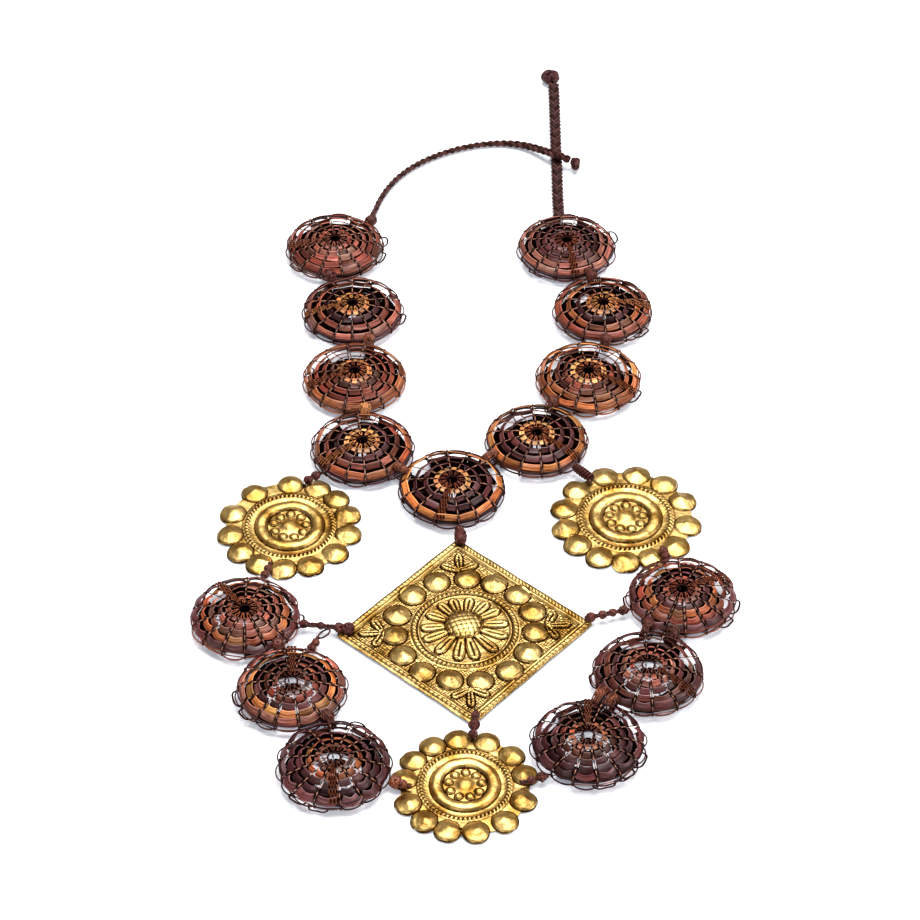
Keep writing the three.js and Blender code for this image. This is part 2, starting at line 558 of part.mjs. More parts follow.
const rightBase = new THREE.Vector3(rightShoulder.centre.x, rightShoulder.centre.y + rightShoulder.radius
  + CLEARANCE, 0);
const rightRoute = fromPoint(rightBase, RIGHT_CORD_ROUTE);
addMesh('right_cord', cordGeometry(rightRoute, RIGHT_CORD_WIDTH, RIGHT_CORD_THICKNESS, 12, 8), TIE_FIBRE);
const rightEnd = rightRoute.at(-1).clone().add(new THREE.Vector3(-1.2, RIGHT_END_KNOT_DIAMETER / 2, 1.0));
addMesh('right_cord_knot', ballGeometry(rightEnd, RIGHT_END_KNOT_DIAMETER, RIGHT_END_KNOT_DIAMETER,
  0.64 * RIGHT_END_KNOT_DIAMETER), TIE_FIBRE);

// The origin goes to the middle of all but the cords, on the floor.
const bib = new THREE.Box3();
for (const mesh of necklace.children) {
  mesh.updateMatrixWorld();
  if (!mesh.name.includes('_cord')) bib.expandByObject(mesh, true);
}
const middle = bib.getCenter(new THREE.Vector3());
necklace.children.forEach((mesh) => mesh.position.sub(new THREE.Vector3(middle.x, middle.y, 0)));

export default necklace;
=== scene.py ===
"""The looks of a bib necklace: woven fibre medallions, embossed brass sheets, ties and braided cords.

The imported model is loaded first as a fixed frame, and every piece here takes its place from it.
Lengths are in millimetres inside the classes, and become metres when a piece is finished.
"""

from __future__ import annotations

import logging
import math
from dataclasses import dataclass, field
from enum import Enum

import bpy
import numpy as np
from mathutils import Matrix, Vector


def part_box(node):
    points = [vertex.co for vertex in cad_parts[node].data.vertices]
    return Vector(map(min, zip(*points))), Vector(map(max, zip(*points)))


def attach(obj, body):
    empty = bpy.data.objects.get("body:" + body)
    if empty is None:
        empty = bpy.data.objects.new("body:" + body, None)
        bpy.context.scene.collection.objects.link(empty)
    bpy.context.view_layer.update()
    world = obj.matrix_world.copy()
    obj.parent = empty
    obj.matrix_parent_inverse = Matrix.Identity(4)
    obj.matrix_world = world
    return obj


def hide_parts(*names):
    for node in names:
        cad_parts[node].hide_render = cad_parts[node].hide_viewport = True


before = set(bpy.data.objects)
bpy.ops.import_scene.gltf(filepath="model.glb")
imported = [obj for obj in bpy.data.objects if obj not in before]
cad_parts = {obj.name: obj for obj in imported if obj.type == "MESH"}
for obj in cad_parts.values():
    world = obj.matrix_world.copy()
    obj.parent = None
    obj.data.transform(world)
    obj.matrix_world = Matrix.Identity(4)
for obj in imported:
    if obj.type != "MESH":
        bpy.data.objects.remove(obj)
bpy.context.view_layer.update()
bpy.ops.object.select_all(action="DESELECT")

LOG = logging.getLogger("bib_necklace")
MM = 0.001
TAU = 2 * math.pi
MEDALLION_DIAMETER = 39.0
SPOKES = 14
CLEARANCE = 0.3
UP = np.array([0.0, 0.0, 1.0])
IN_PLAN = np.array([1, 1, 0])
CREASE_OF_STRIPS, CREASE_OF_SHEETS = 50, 60
MIX_SHARE, MIX_FIRST, MIX_SECOND = 0, 6, 7


class Slot(Enum):
    """The two finishes of a woven piece: flat fibre strips and twisted threads."""

    STRIP = 0
    THREAD = 1


def tint(code: str) -> np.ndarray:
    """Linear colour of a six-digit hex code.

    Args:
        code: The colour as it looks on a screen, such as "b8923c".

    Returns:
        Red, green and blue from 0 to 1, as Blender's sockets take them.
    """
    screen = np.array([int(code[i:i + 2], 16) for i in (0, 2, 4)]) / 255
    return np.where(screen <= 0.04045, screen / 12.92, ((screen + 0.055) / 1.055) ** 2.4)


def rgba(code: str) -> tuple[float, float, float, float]:
    """A hex code as a linear colour with alpha 1."""
    return (*tint(code), 1.0)


def unit(rows: np.ndarray) -> np.ndarray:
    """The rows at length one."""
    return rows / np.maximum(np.linalg.norm(rows, axis=-1, keepdims=True), 1e-9)


def polar(bearing: np.ndarray | float, reach: np.ndarray | float) -> np.ndarray:
    """Points of the floor plan at bearings in degrees and distances from the origin."""
    angle = np.radians(bearing)
    return np.stack([reach * np.cos(angle), reach * np.sin(angle)], axis=-1)


def ease(value: np.ndarray, low: float, high: float) -> np.ndarray:
    """A smooth step from 0 at low to 1 at high."""
    share = np.clip((value - low) / (high - low), 0, 1)
    return share * share * (3 - 2 * share)


def mound(gap: np.ndarray, power: float = 0.5) -> np.ndarray:
    """A round top: 1 where the gap is 0, and 0 from a gap of 1 on."""
    return np.clip(1 - gap ** 2, 0, 1) ** power


def ridge(value: np.ndarray, place: float, width: float) -> np.ndarray:
    """A soft ridge: 1 at its place, and near 0 from twice its width on."""
    return np.exp(-((value - place) / width) ** 2)


def ripple(x: np.ndarray, y: np.ndarray, seed: int, wavelength: float, waves: int = 7) -> np.ndarray:
    """A gentle uneven surface, as hand beating leaves it.

    Args:
        x: Across, in millimetres.
        y: Up, in millimetres.
        seed: Picks one surface of many.
        wavelength: The usual distance between two hollows.
        waves: How many waves are added up.

    Returns:
        Heights that are about 1 at most.
    """
    draw = np.random.default_rng(seed)
    total = np.zeros_like(x)
    for _ in range(waves):
        angle, phase = draw.uniform(0, TAU, 2)
        scale = TAU / (wavelength * draw.uniform(0.7, 1.5))
        total += np.sin((x * math.cos(angle) + y * math.sin(angle)) * scale + phase)
    return total / math.sqrt(waves)


def beaten_dome(across: np.ndarray, up: np.ndarray, gap: np.ndarray, draw: np.random.Generator,
                facets: int = 7, sharpness: float = 15.0) -> np.ndarray:
    """A round dome with the soft facets that a hammer leaves.

    Args:
        across: Across from its peak, in radii.
        up: Up from its peak, in radii.
        gap: The distance from its middle, in radii.
        draw: Gives the facets their places.
        facets: How many there are.
        sharpness: How sharp the edges between them are.

    Returns:
        Heights from 0 to about 1.
    """
    total = np.exp(-sharpness * mound(gap, 0.55))
    turn = draw.uniform(0, TAU)
    for index in range(facets):
        bearing = turn + index * TAU / facets + draw.uniform(-0.3, 0.3)
        slope = draw.uniform(0.65, 1.05)
        level = draw.uniform(1.02, 1.18) - slope * (across * math.cos(bearing) + up * math.sin(bearing))
        total += np.exp(-sharpness * np.clip(level, 0, 3))
    return 1.08 * np.clip(-np.log(total) / sharpness, 0, 1.1) * (gap < 1)


def between(at: np.ndarray, first: np.ndarray, second: np.ndarray, low: float, high: float) -> np.ndarray:
    """Points on the way from one point at low to another at high."""
    return ((high - at) * first + (at - low) * second) / (high - low)


def smooth_line(route: np.ndarray, step: float, share: int = 24) -> np.ndarray:
    """A smooth curve through a route's points, as the frame's own cords follow it.

    Args:
        route: The points, in millimetres.
        step: The distance between the points of the curve, about.
        share: How many points are worked out between two points of the route.

    Returns:
        Points along the curve, evenly spaced.
    """
    ends = np.vstack([2 * route[0] - route[1], route, 2 * route[-1] - route[-2]])
    dense = []
    for index in range(1, len(ends) - 2):
        before, start, end, after = ends[index - 1:index + 3]
        knots = [0.0]
        for first, second in ((before, start), (start, end), (end, after)):
            knots.append(knots[-1] + math.sqrt(np.linalg.norm(second - first)))
        at = np.linspace(knots[1], knots[2], share, endpoint=False)[:, None]
        one = between(at, before, start, knots[0], knots[1])
        two = between(at, start, end, knots[1], knots[2])
        three = between(at, end, after, knots[2], knots[3])
        lower = between(at, one, two, knots[0], knots[2])
        upper = between(at, two, three, knots[1], knots[3])
        dense.append(between(at, lower, upper, knots[1], knots[2]))
    dense.append(route[-1:])
    return evenly(np.concatenate(dense), step)


def evenly(line: np.ndarray, step: float) -> np.ndarray:
    """The line again, with its points about a step apart."""
    along = run_of(line)
    at = np.linspace(0, along[-1], max(3, int(round(along[-1] / step)) + 1))
    return np.stack([np.interp(at, along, line[:, axis]) for axis in range(3)], axis=1)


def run_of(line: np.ndarray) -> np.ndarray:
    """How far along the line each of its points is."""
    return np.concatenate([[0], np.cumsum(np.linalg.norm(np.diff(line, axis=0), axis=1))])


def round_section(radius: float, sides: int = 6) -> np.ndarray:
    """A round section of a strand."""
    return polar(np.arange(sides) * 360 / sides, radius)


def strip_section(width: float, thickness: float) -> np.ndarray:
    """A flat strip's section, a little cupped, so that its edges stand up and catch the light."""
    shape = ((1, 0), (0.82, 1), (0, 0.2), (-0.82, 1), (-1, 0), (-0.82, -1), (0, -1.4), (0.82, -1))
    return np.array(shape) * (width / 2, thickness / 2)


def box_of(node: str) -> tuple[np.ndarray, np.ndarray]:
    """The middle and the size of a node of the frame, in millimetres."""
    low, high = (np.array(corner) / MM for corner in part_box(node))
    return (low + high) / 2, high - low


def axis_of(node: str) -> tuple[np.ndarray, np.ndarray]:
    """The two ends of a long node of the frame, in millimetres."""
    points = np.array([vertex.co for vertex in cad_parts[node].data.vertices]) / MM
    middle = (points.min(axis=0) + points.max(axis=0)) / 2
    direction = np.linalg.svd(points - points.mean(axis=0), full_matrices=False)[2][0]
    reach = (points - middle) @ direction
    return middle + direction * reach.min(), middle + direction * reach.max()


def add_object(name: str, data: bpy.types.ID) -> bpy.types.Object:
    """A new object of the scene, at the origin, with its mesh, camera or light."""
    made = bpy.data.objects.new(name, data)
    bpy.context.scene.collection.objects.link(made)
    return made


def add_attribute(mesh: bpy.types.Mesh, name: str, kind: str, key: str, values: np.ndarray) -> None:
    """Gives each point of a mesh a value that its materials can read."""
    layer = mesh.attributes.new(name, kind, "POINT")
    layer.data.foreach_set(key, values.astype(np.float32).ravel())


@dataclass
class Skein:
    """Gathers swept strips and threads, and makes one mesh of them."""

    points: list[np.ndarray] = field(default_factory=list)
    quads: list[np.ndarray] = field(default_factory=list)
    tints: list[np.ndarray] = field(default_factory=list)
    grains: list[np.ndarray] = field(default_factory=list)
    slots: list[np.ndarray] = field(default_factory=list)
    total: int = 0
    strands: int = 0

    def sweep(self, line: np.ndarray, up: np.ndarray, section: np.ndarray, colour: np.ndarray,
              slot: Slot = Slot.THREAD, closed: bool = False, swell: np.ndarray | None = None,
              turn: np.ndarray | None = None) -> None:
        """Sweeps a section along a line.

        Args:
            line: The middle of the strand, point by point.
            up: Which way the section's second axis points, once or at each point.
            section: The section's corners, anticlockwise, an even number of them.
            colour: The strand's colour, once or at each point of the line.
            slot: The finish that its faces take.
            closed: Whether the line's end joins its start.
            swell: The size of the section at each point, as a share.
            turn: How far the section is turned at each point, in radians.
        """
        count, sides = len(line), len(section)
        ahead = np.roll(line, -1, 0) - np.roll(line, 1, 0) if closed else np.gradient(line, axis=0)
        ahead = unit(ahead)
        side = unit(np.cross(ahead, np.broadcast_to(up, line.shape)))
        top = np.cross(side, ahead)
        across, rise = (np.broadcast_to(section[:, axis], (count, sides)) for axis in (0, 1))
        if turn is not None:
            cosine, sine = np.cos(turn)[:, None], np.sin(turn)[:, None]
            across, rise = across * cosine - rise * sine, across * sine + rise * cosine
        if swell is not None:
            across, rise = across * swell[:, None], rise * swell[:, None]
        rings = line[:, None] + side[:, None] * across[..., None] + top[:, None] * rise[..., None]
        step = np.arange(count if closed else count - 1)[:, None]
        corner = np.arange(sides)[None, :]
        ring, after, beside = step * sides, (step + 1) % count * sides, (corner + 1) % sides
        faces = np.stack(
            [ring + corner, after + corner, after + beside, ring + beside], axis=-1).reshape(-1, 4)
        if not closed:
            index = np.arange(sides // 2 - 1)
            cap = np.stack([index, index + 1, sides - 2 - index, sides - 1 - index], axis=-1)
            faces = np.concatenate([faces, cap, (count - 1) * sides + cap[:, ::-1]])
        self.strands += 1
        grain = np.zeros((count, sides, 3))
        grain[..., 0] = (run_of(line) + 37.0 * self.strands)[:, None]
        grain[..., 1] = section[:, 0] / np.abs(section[:, 0]).max()
        grain[..., 2] = self.strands % 97
        colours = np.ones((count, sides, 4))
        colours[..., :3] = np.broadcast_to(colour, (count, 3))[:, None]
        self.points.append(rings.reshape(-1, 3))
        self.quads.append(faces + self.total)
        self.tints.append(colours.reshape(-1, 4))
        self.grains.append(grain.reshape(-1, 3))
        self.slots.append(np.full(len(faces), slot.value))
        self.total += count * sides

    def plait(self, line: np.ndarray, up: np.ndarray, half_width: np.ndarray | float,
              half_height: np.ndarray | float, strand: float, period: float, strands: int,
              colours: list[np.ndarray], sides: int = 6) -> None:
        """Plaits strands along a line, each running out from the middle on top and back below.

        Args:
            line: The middle of the plait, with points close enough for its waves.
            up: Which way is up.
            half_width: How far the strands' middles swing sideways.
            half_height: How far they rise and fall.
            strand: A strand's radius.
            period: The length in which a strand comes back to its place.
            strands: How many there are.
            colours: The strands' colours, used in turn.
            sides: The corners of a strand's section.
        """
        ahead = unit(np.gradient(line, axis=0))
        side = unit(np.cross(ahead, np.broadcast_to(up, line.shape)))
        top = np.cross(side, ahead)
        for index in range(strands):
            angle = run_of(line) * TAU / period + index * TAU / strands
            middle = line + side * (half_width * np.sin(angle))[:, None]
            middle = middle + top * (half_height * np.sin(2 * angle))[:, None]
            self.sweep(middle, top, round_section(strand, sides), colours[index % len(colours)])

    def wound_ball(self, middle: np.ndarray, size: np.ndarray, strand: float, loops: int,
                   colour: np.ndarray, seed: int) -> None:
        """A knot wound into a ball: a core with loops laid round it.

        Args:
            middle: The ball's middle.
            size: Its whole width, depth and height.
            strand: The radius of the cord that it is wound from.
            loops: How many loops lie round it.
            colour: Its colour.
            seed: Picks how the loops lie.
        """
        draw = np.random.default_rng(seed)
        reach = np.maximum(size / 2 - strand * 1.1, 0.2)
        share = np.linspace(-0.98, 0.98, 9)
        core = middle + np.stack([share * reach[0], 0 * share, 0 * share], axis=1)
        section = round_section(0.85, 10) * reach[1:]
        # The core is a quarter as bright as its colour: painted shade in the gaps between the loops.
        self.sweep(core, UP, section, colour * 0.25, swell=mound(share))
        around = np.linspace(0, TAU, 26, endpoint=False)
        for index in range(loops):
            shade = colour * draw.uniform(0.5, 1.9)
            tilt = unit(np.array([math.cos(index * 2.4), math.sin(index * 2.4), draw.uniform(-0.5, 0.9)]))
            first = unit(np.cross(tilt, np.array([0.3, 0.2, 1.0])))
            second = np.cross(tilt, first)
            offset = tilt * draw.uniform(-0.45, 0.45)
            flat = math.sqrt(1 - offset @ offset)
            loop = flat * (np.outer(np.cos(around), first) + np.outer(np.sin(around), second)) + offset
            weave = 1 + 0.05 * np.sin(3 * around + index)
            self.sweep(middle + loop * weave[:, None] * reach, tilt, round_section(strand, 6),
                       shade, closed=True)

    def piece(self, name: str, finishes: list[bpy.types.Material]) -> bpy.types.Object:
        """Makes the gathered strands one object.

        Args:
            name: The piece's name.
            finishes: Its materials, in the order of Slot.

        Returns:
            The new object, at the origin, with its place in its mesh.
        """
        mesh = bpy.data.meshes.new(name)
        mesh.from_pydata(np.concatenate(self.points) * MM, [], np.concatenate(self.quads).tolist())
        add_attribute(mesh, "tint", "FLOAT_COLOR", "color", np.concatenate(self.tints))
        add_attribute(mesh, "grain", "FLOAT_VECTOR", "vector", np.concatenate(self.grains))
        for finish in finishes:
            mesh.materials.append(finish)
        mesh.polygons.foreach_set("material_index", np.concatenate(self.slots).astype(np.int32))
        piece = add_object(name, mesh)
        smooth(piece, CREASE_OF_STRIPS)
        return piece


def pick(piece: bpy.types.Object) -> None:
    """Selects one piece and no other, and makes it the active one."""
    bpy.ops.object.select_all(action="DESELECT")
    piece.select_set(True)
    bpy.context.view_layer.objects.active = piece


def smooth(piece: bpy.types.Object, angle: float) -> None:
    """Shades a piece smooth, but for the edges that turn more than an angle in degrees."""
    pick(piece)
    bpy.ops.object.shade_smooth_by_angle(angle=math.radians(angle))
    piece.select_set(False)


def settle(piece: bpy.types.Object, nodes: list[str]) -> bpy.types.Object:
    """Joins a finished piece to the frame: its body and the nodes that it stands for."""
    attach(piece, "root")
    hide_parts(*nodes)
    LOG.info("%s: %d faces, stands for %s", piece.name, len(piece.data.polygons), ", ".join(nodes))
    return piece


class NodeTree:
    """A material with its node tree, to which nodes are added from left to right."""

    def __init__(self, name: str) -> None:
        """Makes a new material with a Principled shader."""
        self.material = bpy.data.materials.new(name)
        self.material.use_nodes = True
        self.tree = self.material.node_tree
        self.shader = self.tree.nodes["Principled BSDF"]

    def add(self, kind: str, inputs: dict[str | int, object], **settings: object) -> bpy.types.Node:
        """Adds a node.

        Args:
            kind: The node's type, without the words ShaderNode.
            inputs: Its sockets by name or place, each a value or another node's output.
            settings: Its other settings.

        Returns:
            The node.
        """
        node = self.tree.nodes.new("ShaderNode" + kind)
        for key, value in settings.items():
            setattr(node, key, value)
        for key, value in inputs.items():
            self.feed(node.inputs[key], value)
        return node

    def feed(self, socket: bpy.types.NodeSocket, value: object) -> None:
        """Links a socket to an output, or sets its value."""
        if isinstance(value, bpy.types.NodeSocket):
            self.tree.links.new(value, socket)
        else:
            socket.default_value = value

    def maths(self, operation: str, *values: object) -> bpy.types.NodeSocket:
        """The result of a Math node."""
        return self.add("Math", dict(enumerate(values)), operation=operation).outputs[0]

    def plus(self, first: object, second: object, share: float) -> bpy.types.NodeSocket:
        """One value plus a share of another."""
        return self.maths("ADD", first, self.maths("MULTIPLY", second, share))

    def blend(self, share: object, first: object, second: object, kind: str = "MIX") -> bpy.types.NodeSocket:
        """The result of a colour Mix node."""
        inputs = {MIX_SHARE: share, MIX_FIRST: first, MIX_SECOND: second}
        return self.add("Mix", inputs, data_type="RGBA", blend_type=kind).outputs[2]

    def stained(self, colour: object, share: tuple[float, float, float]) -> bpy.types.NodeSocket:
        """A colour with its red, green and blue multiplied by a share each."""
        return self.blend(1.0, colour, (*share, 1.0), "MULTIPLY")

    def sheen(self, colour: object, full: float, low: float, high: float) -> bpy.types.NodeSocket:
        """A gloss that rises from low to high with the red of a colour, as dark fibre shines less."""
        red = self.add("SeparateColor", {0: colour}).outputs[0]
        return self.spread(red, 0.012, full, low, high)

    def bump(self, height: object, strength: float, distance: float) -> bpy.types.NodeSocket:
        """The normals of a surface with a fine relief, whose depth is in metres."""
        return self.add("Bump", {"Strength": strength, "Distance": distance, "Height": height}).outputs[0]

    def spread(self, value: object, low: float, high: float, to_low: float = 0.0,
               to_high: float = 1.0) -> bpy.types.NodeSocket:
        """The result of a smooth Map Range node."""
        node = self.add("MapRange", {0: value, 1: low, 2: high, 3: to_low, 4: to_high},
                        interpolation_type="SMOOTHSTEP")
        return node.outputs[0]

    def noise(self, vector: object, scale: float, detail: float = 3.0,
              roughness: float = 0.55) -> bpy.types.NodeSocket:
        """The value of a Noise Texture node."""
        inputs = {"Vector": vector, "Scale": scale, "Detail": detail, "Roughness": roughness}
        return self.add("TexNoise", inputs).outputs["Fac"]

    def named(self, attribute: str, output: str = "Fac") -> bpy.types.NodeSocket:
        """An attribute of the piece's own mesh."""
        return self.add("Attribute", {}, attribute_name=attribute).outputs[output]

    def finish(self, **sockets: object) -> bpy.types.Material:
        """Feeds the shader's sockets, named with underscores for blanks, and gives the material."""
        for key, value in sockets.items():
            self.feed(self.shader.inputs[key.replace("_", " ")], value)
        return self.material


@dataclass(frozen=True)
class FibreStrip:
    """Flat dyed fibre strip: glossy, with grain along it and a painted highlight along its edges."""

    name: str = "fibre_strip"
    roughness: float = 0.37
    stain: tuple[float, float, float] = (0.38, 0.28, 0.27)
    # Pale colour for the light grain streaks and for the painted highlight along the edges.
    pale_grain_and_edge_highlight: tuple[float, float, float] = (1.75, 1.85, 1.95)

    def make(self) -> bpy.types.Material:
        """Makes the material."""
        tree = NodeTree(self.name)
        parts = tree.add("SeparateXYZ", {0: tree.named("grain", "Vector")}).outputs
        streaks = tree.add("CombineXYZ", {
            0: tree.maths("MULTIPLY", parts[0], 0.07), 1: tree.maths("MULTIPLY", parts[1], 1.5),
            2: parts[2]}).outputs[0]
        grain = tree.noise(streaks, 1.6, 4.0, 0.65)
        blotch = tree.noise(tree.named("grain", "Vector"), 0.35, 2.0)
        # A painted highlight along both edges of the strip, mixed towards the pale colour below.
        edge = tree.spread(tree.maths("ABSOLUTE", parts[1]), 0.66, 0.98)
        colour = tree.named("tint", "Color")
        dark, pale = tree.stained(colour, self.stain), tree.stained(colour, self.pale_grain_and_edge_highlight)
        base = tree.blend(tree.spread(grain, 0.38, 0.56), dark, colour)
        base = tree.blend(tree.spread(grain, 0.56, 0.68, 0.0, 0.9), base, pale)
        base = tree.blend(tree.maths("MULTIPLY", edge, 0.6), base, pale)
        base = tree.blend(tree.spread(blotch, 0.48, 0.72, 0.0, 0.5), base, dark)
        height = tree.plus(grain, blotch, 0.3)
        rough = tree.spread(grain, 0.3, 0.7, self.roughness + 0.14, self.roughness - 0.06)
        return tree.finish(Base_Color=base, Roughness=rough, Normal=tree.bump(height, 0.5, 0.00012),
                           Specular_IOR_Level=tree.sheen(colour, 0.07, 0.0, 0.5))


@dataclass(frozen=True)
class FibreThread:
    """Twisted dyed thread: darker and rougher than the strip, with fine fibres round it."""

    name: str = "fibre_thread"
    roughness: float = 0.5
    stain: tuple[float, float, float] = (0.3, 0.24, 0.24)
    twist: float = 7.0

    def make(self) -> bpy.types.Material:
        """Makes the material."""
        tree = NodeTree(self.name)
        parts = tree.add("SeparateXYZ", {0: tree.named("grain", "Vector")}).outputs
        slant = tree.plus(parts[0], parts[1], 0.6)
        wave = tree.maths("SINE", tree.maths("MULTIPLY", slant, self.twist))
        fuzz = tree.noise(tree.named("grain", "Vector"), 3.0, 3.0)
        colour = tree.named("tint", "Color")
        share = tree.spread(tree.plus(wave, fuzz, 1.4), -0.6, 1.4)
        base = tree.blend(share, tree.stained(colour, self.stain), colour)
        return tree.finish(Base_Color=base, Roughness=self.roughness, Normal=tree.bump(share, 0.4, 0.0001),
                           Specular_IOR_Level=tree.sheen(colour, 0.09, 0.05, 0.4))


@dataclass(frozen=True)
class BeatenBrass:
    """Thin brass sheet beaten by hand: warm gold, dark in its hollows, dented and stained."""

    name: str
    bright: str = "d2b274"
    deep: str = "9c7536"
    patina: str = "331d05"
    roughness: float = 0.34
    stain_scale: float = 95.0
    fine_scale: float = 900.0
    blow_scale: float = 300.0
    dot_scale: float = 950.0
    dot_depth: float = 1.2
    fine_depth: float = 0.4
    blow_depth: float = 1.6

    def make(self) -> bpy.types.Material:
        """Makes the material."""
        tree = NodeTree(self.name)
        place = tree.add("TexCoord", {}).outputs["Object"]
        hollow, ground = tree.named("patina"), tree.named("ground")
        stains = tree.noise(place, self.stain_scale, 5.0, 0.62)
        fine = tree.noise(place, self.fine_scale, 4.0, 0.6)
        blows = tree.noise(place, self.blow_scale, 2.0, 0.5)
        cells = tree.add("TexVoronoi", {"Vector": place, "Scale": self.dot_scale}, feature="F1")
        base = tree.blend(tree.spread(stains, 0.38, 0.66), rgba(self.bright), rgba(self.deep))
        dirt = tree.plus(hollow, tree.spread(stains, 0.5, 0.8), 0.22)
        dirt = tree.plus(dirt, tree.maths("SUBTRACT", fine, 0.5), 0.35)
        dirt = tree.plus(dirt, ground, 0.3)
        base = tree.blend(tree.spread(dirt, 0.0, 0.8), base, rgba(self.patina))
        rough = tree.plus(tree.spread(dirt, 0.1, 0.9, self.roughness, self.roughness + 0.3), fine, 0.1)
        dots = tree.maths("MULTIPLY", cells.outputs["Distance"], ground)
        height = tree.plus(stains, dots, self.dot_depth)
        height = tree.plus(height, fine, self.fine_depth)
        height = tree.plus(height, blows, self.blow_depth)
        return tree.finish(Base_Color=base, Metallic=1.0, Roughness=rough,
                           Normal=tree.bump(height, 0.6, 0.00035))


@dataclass(frozen=True)
class Weave:
    """How one medallion is woven.

    Attributes:
        share: Its diameter as a share of the usual one.
        turn: The turn of its spokes in degrees.
        ridge: The bearing of its chain-stitched ridge.
        rings: The colours of its rings of strip, from the middle outwards.
        rim: The colour of the band that stands at its rim.
        middle: The colour of the fine loops round its eye.
        bow: How far its strips arch outwards between the spokes, as a share of its radius.
        broad: How much broader than usual its strips are, in millimetres.
        bulge: How far the loops of its rim stand out between the spokes, as a share of its radius.
        clear: Whether the floor shows through its eye.
        loose: The bearings of the loops that stand out from its rim.
    """

    share: float
    turn: float
    ridge: float
    rings: tuple[str, ...]
    rim: str
    middle: str
    bow: float = 0.012
    broad: float = 0.0
    bulge: float = 0.055
    clear: bool = False
    loose: tuple[float, ...] = ()


GOLD, ORANGE, AMBER, RUST = "d2935a", "bd7844", "a2603c", "8c4a38"
PLUM, DARK_PLUM, PINK, BROWN = "643838", "482426", "9a6252", "6c3e30"
THREAD = "40160e"

# The first three numbers are each medallion's share, turn and ridge.
WEAVES = {
    "medallion_centre": Weave(1.015, 5, -105, (GOLD, PLUM, PLUM, ORANGE), DARK_PLUM, RUST, bow=0.0),
    "medallion_left_4": Weave(0.985, 6, 215, (GOLD, PLUM, RUST, AMBER), PLUM, GOLD, bow=0.0),
    "medallion_left_3": Weave(1.005, 12, 200, (ORANGE, BROWN, RUST, RUST, AMBER), AMBER, AMBER),
    "medallion_left_2": Weave(1.0, 3, 195, (ORANGE, DARK_PLUM, RUST, PINK), PLUM, GOLD, loose=(-12,)),
    "medallion_left_1": Weave(0.995, 9, 190, (RUST, PINK, PINK, RUST, RUST), BROWN, PINK,
                              loose=(12, -18, -142)),
    "medallion_right_4": Weave(0.99, 4, -38, (GOLD, PLUM, PLUM, ORANGE), BROWN, AMBER),
    "medallion_right_3": Weave(1.025, 10, -30, (GOLD, RUST, BROWN, AMBER, ORANGE), AMBER, AMBER,
                               loose=(-28,)),
    "medallion_right_2": Weave(0.99, 0, 0, (ORANGE, DARK_PLUM, AMBER, RUST), BROWN, GOLD, loose=(-40,)),
    "medallion_right_1": Weave(1.0, 8, -80, (PLUM, PLUM, PLUM, PINK, PINK), PLUM, RUST,
                               loose=(22, -130)),
    "medallion_outer_left_1": Weave(0.99, 2, 128, (RUST, PINK, PINK, AMBER, PLUM), RUST, AMBER, bow=0.03,
                                    broad=0.4, bulge=0.06, loose=(-4,)),
    "medallion_outer_left_2": Weave(0.985, 11, 92, (BROWN, RUST, PLUM, ORANGE, PINK), PLUM, BROWN, bow=0.02,
                                    broad=0.4, bulge=0.06, clear=True, loose=(-144, -168)),
    "medallion_outer_left_3": Weave(0.99, 7, -90, (BROWN, AMBER, PLUM, DARK_PLUM, PLUM), DARK_PLUM, BROWN,
                                    bow=0.03, broad=0.5, bulge=0.07, clear=True, loose=(68, -105, -130)),
    "medallion_outer_right_1": Weave(0.985, 1, 25, (RUST, PLUM, AMBER, RUST, PLUM), RUST, RUST, bow=0.03,
                                     broad=0.4, bulge=0.065, loose=(186, -12, -38)),
    "medallion_outer_right_2": Weave(0.995, 5, -38, (RUST, PINK, PLUM, BROWN, PLUM), BROWN, BROWN, bow=0.02,
                                     broad=0.4, bulge=0.06, clear=True, loose=(190,)),
    "medallion_outer_right_3": Weave(0.99, 9, 88, (AMBER, BROWN, PLUM, DARK_PLUM, PLUM), DARK_PLUM, BROWN,
                                     bow=0.03, broad=0.5, bulge=0.08, clear=True, loose=(-22, -48, -74)),
}


@dataclass(frozen=True)
class Ring:
    """One ring of strip in a medallion, laid piece by piece from spoke to spoke.

    Attributes:
        share: Its radius as a share of the medallion's.
        width: The strip's width.
        tilt: How far its outer edge leans down, in degrees.
        upper: Whether it follows the upper web.
        bow: How far each piece arches outwards, as a share of the radius.
        keep: The share of the pieces that are there.
        raised: How far it is raised from the web.
    """

    share: float
    width: float
    tilt: float
    upper: bool = False
    bow: float = 0.0
    keep: float = 1.0
    raised: float = 0.0


STRIP_WIDTHS = {4: 2.3, 5: 2.1}
RIM_BAND = Ring(0.95, 1.5, 68, upper=True, bow=0.012, keep=0.85, raised=-1.1)
HUB = Ring(0.11, 2.4, 0, keep=0.5)
SHOULDER = Ring(0.83, 3.0, -20, keep=0.88, raised=0.1)
FOOT_BAND = Ring(0.95, 1.7, -50, keep=0.65, raised=0.2)


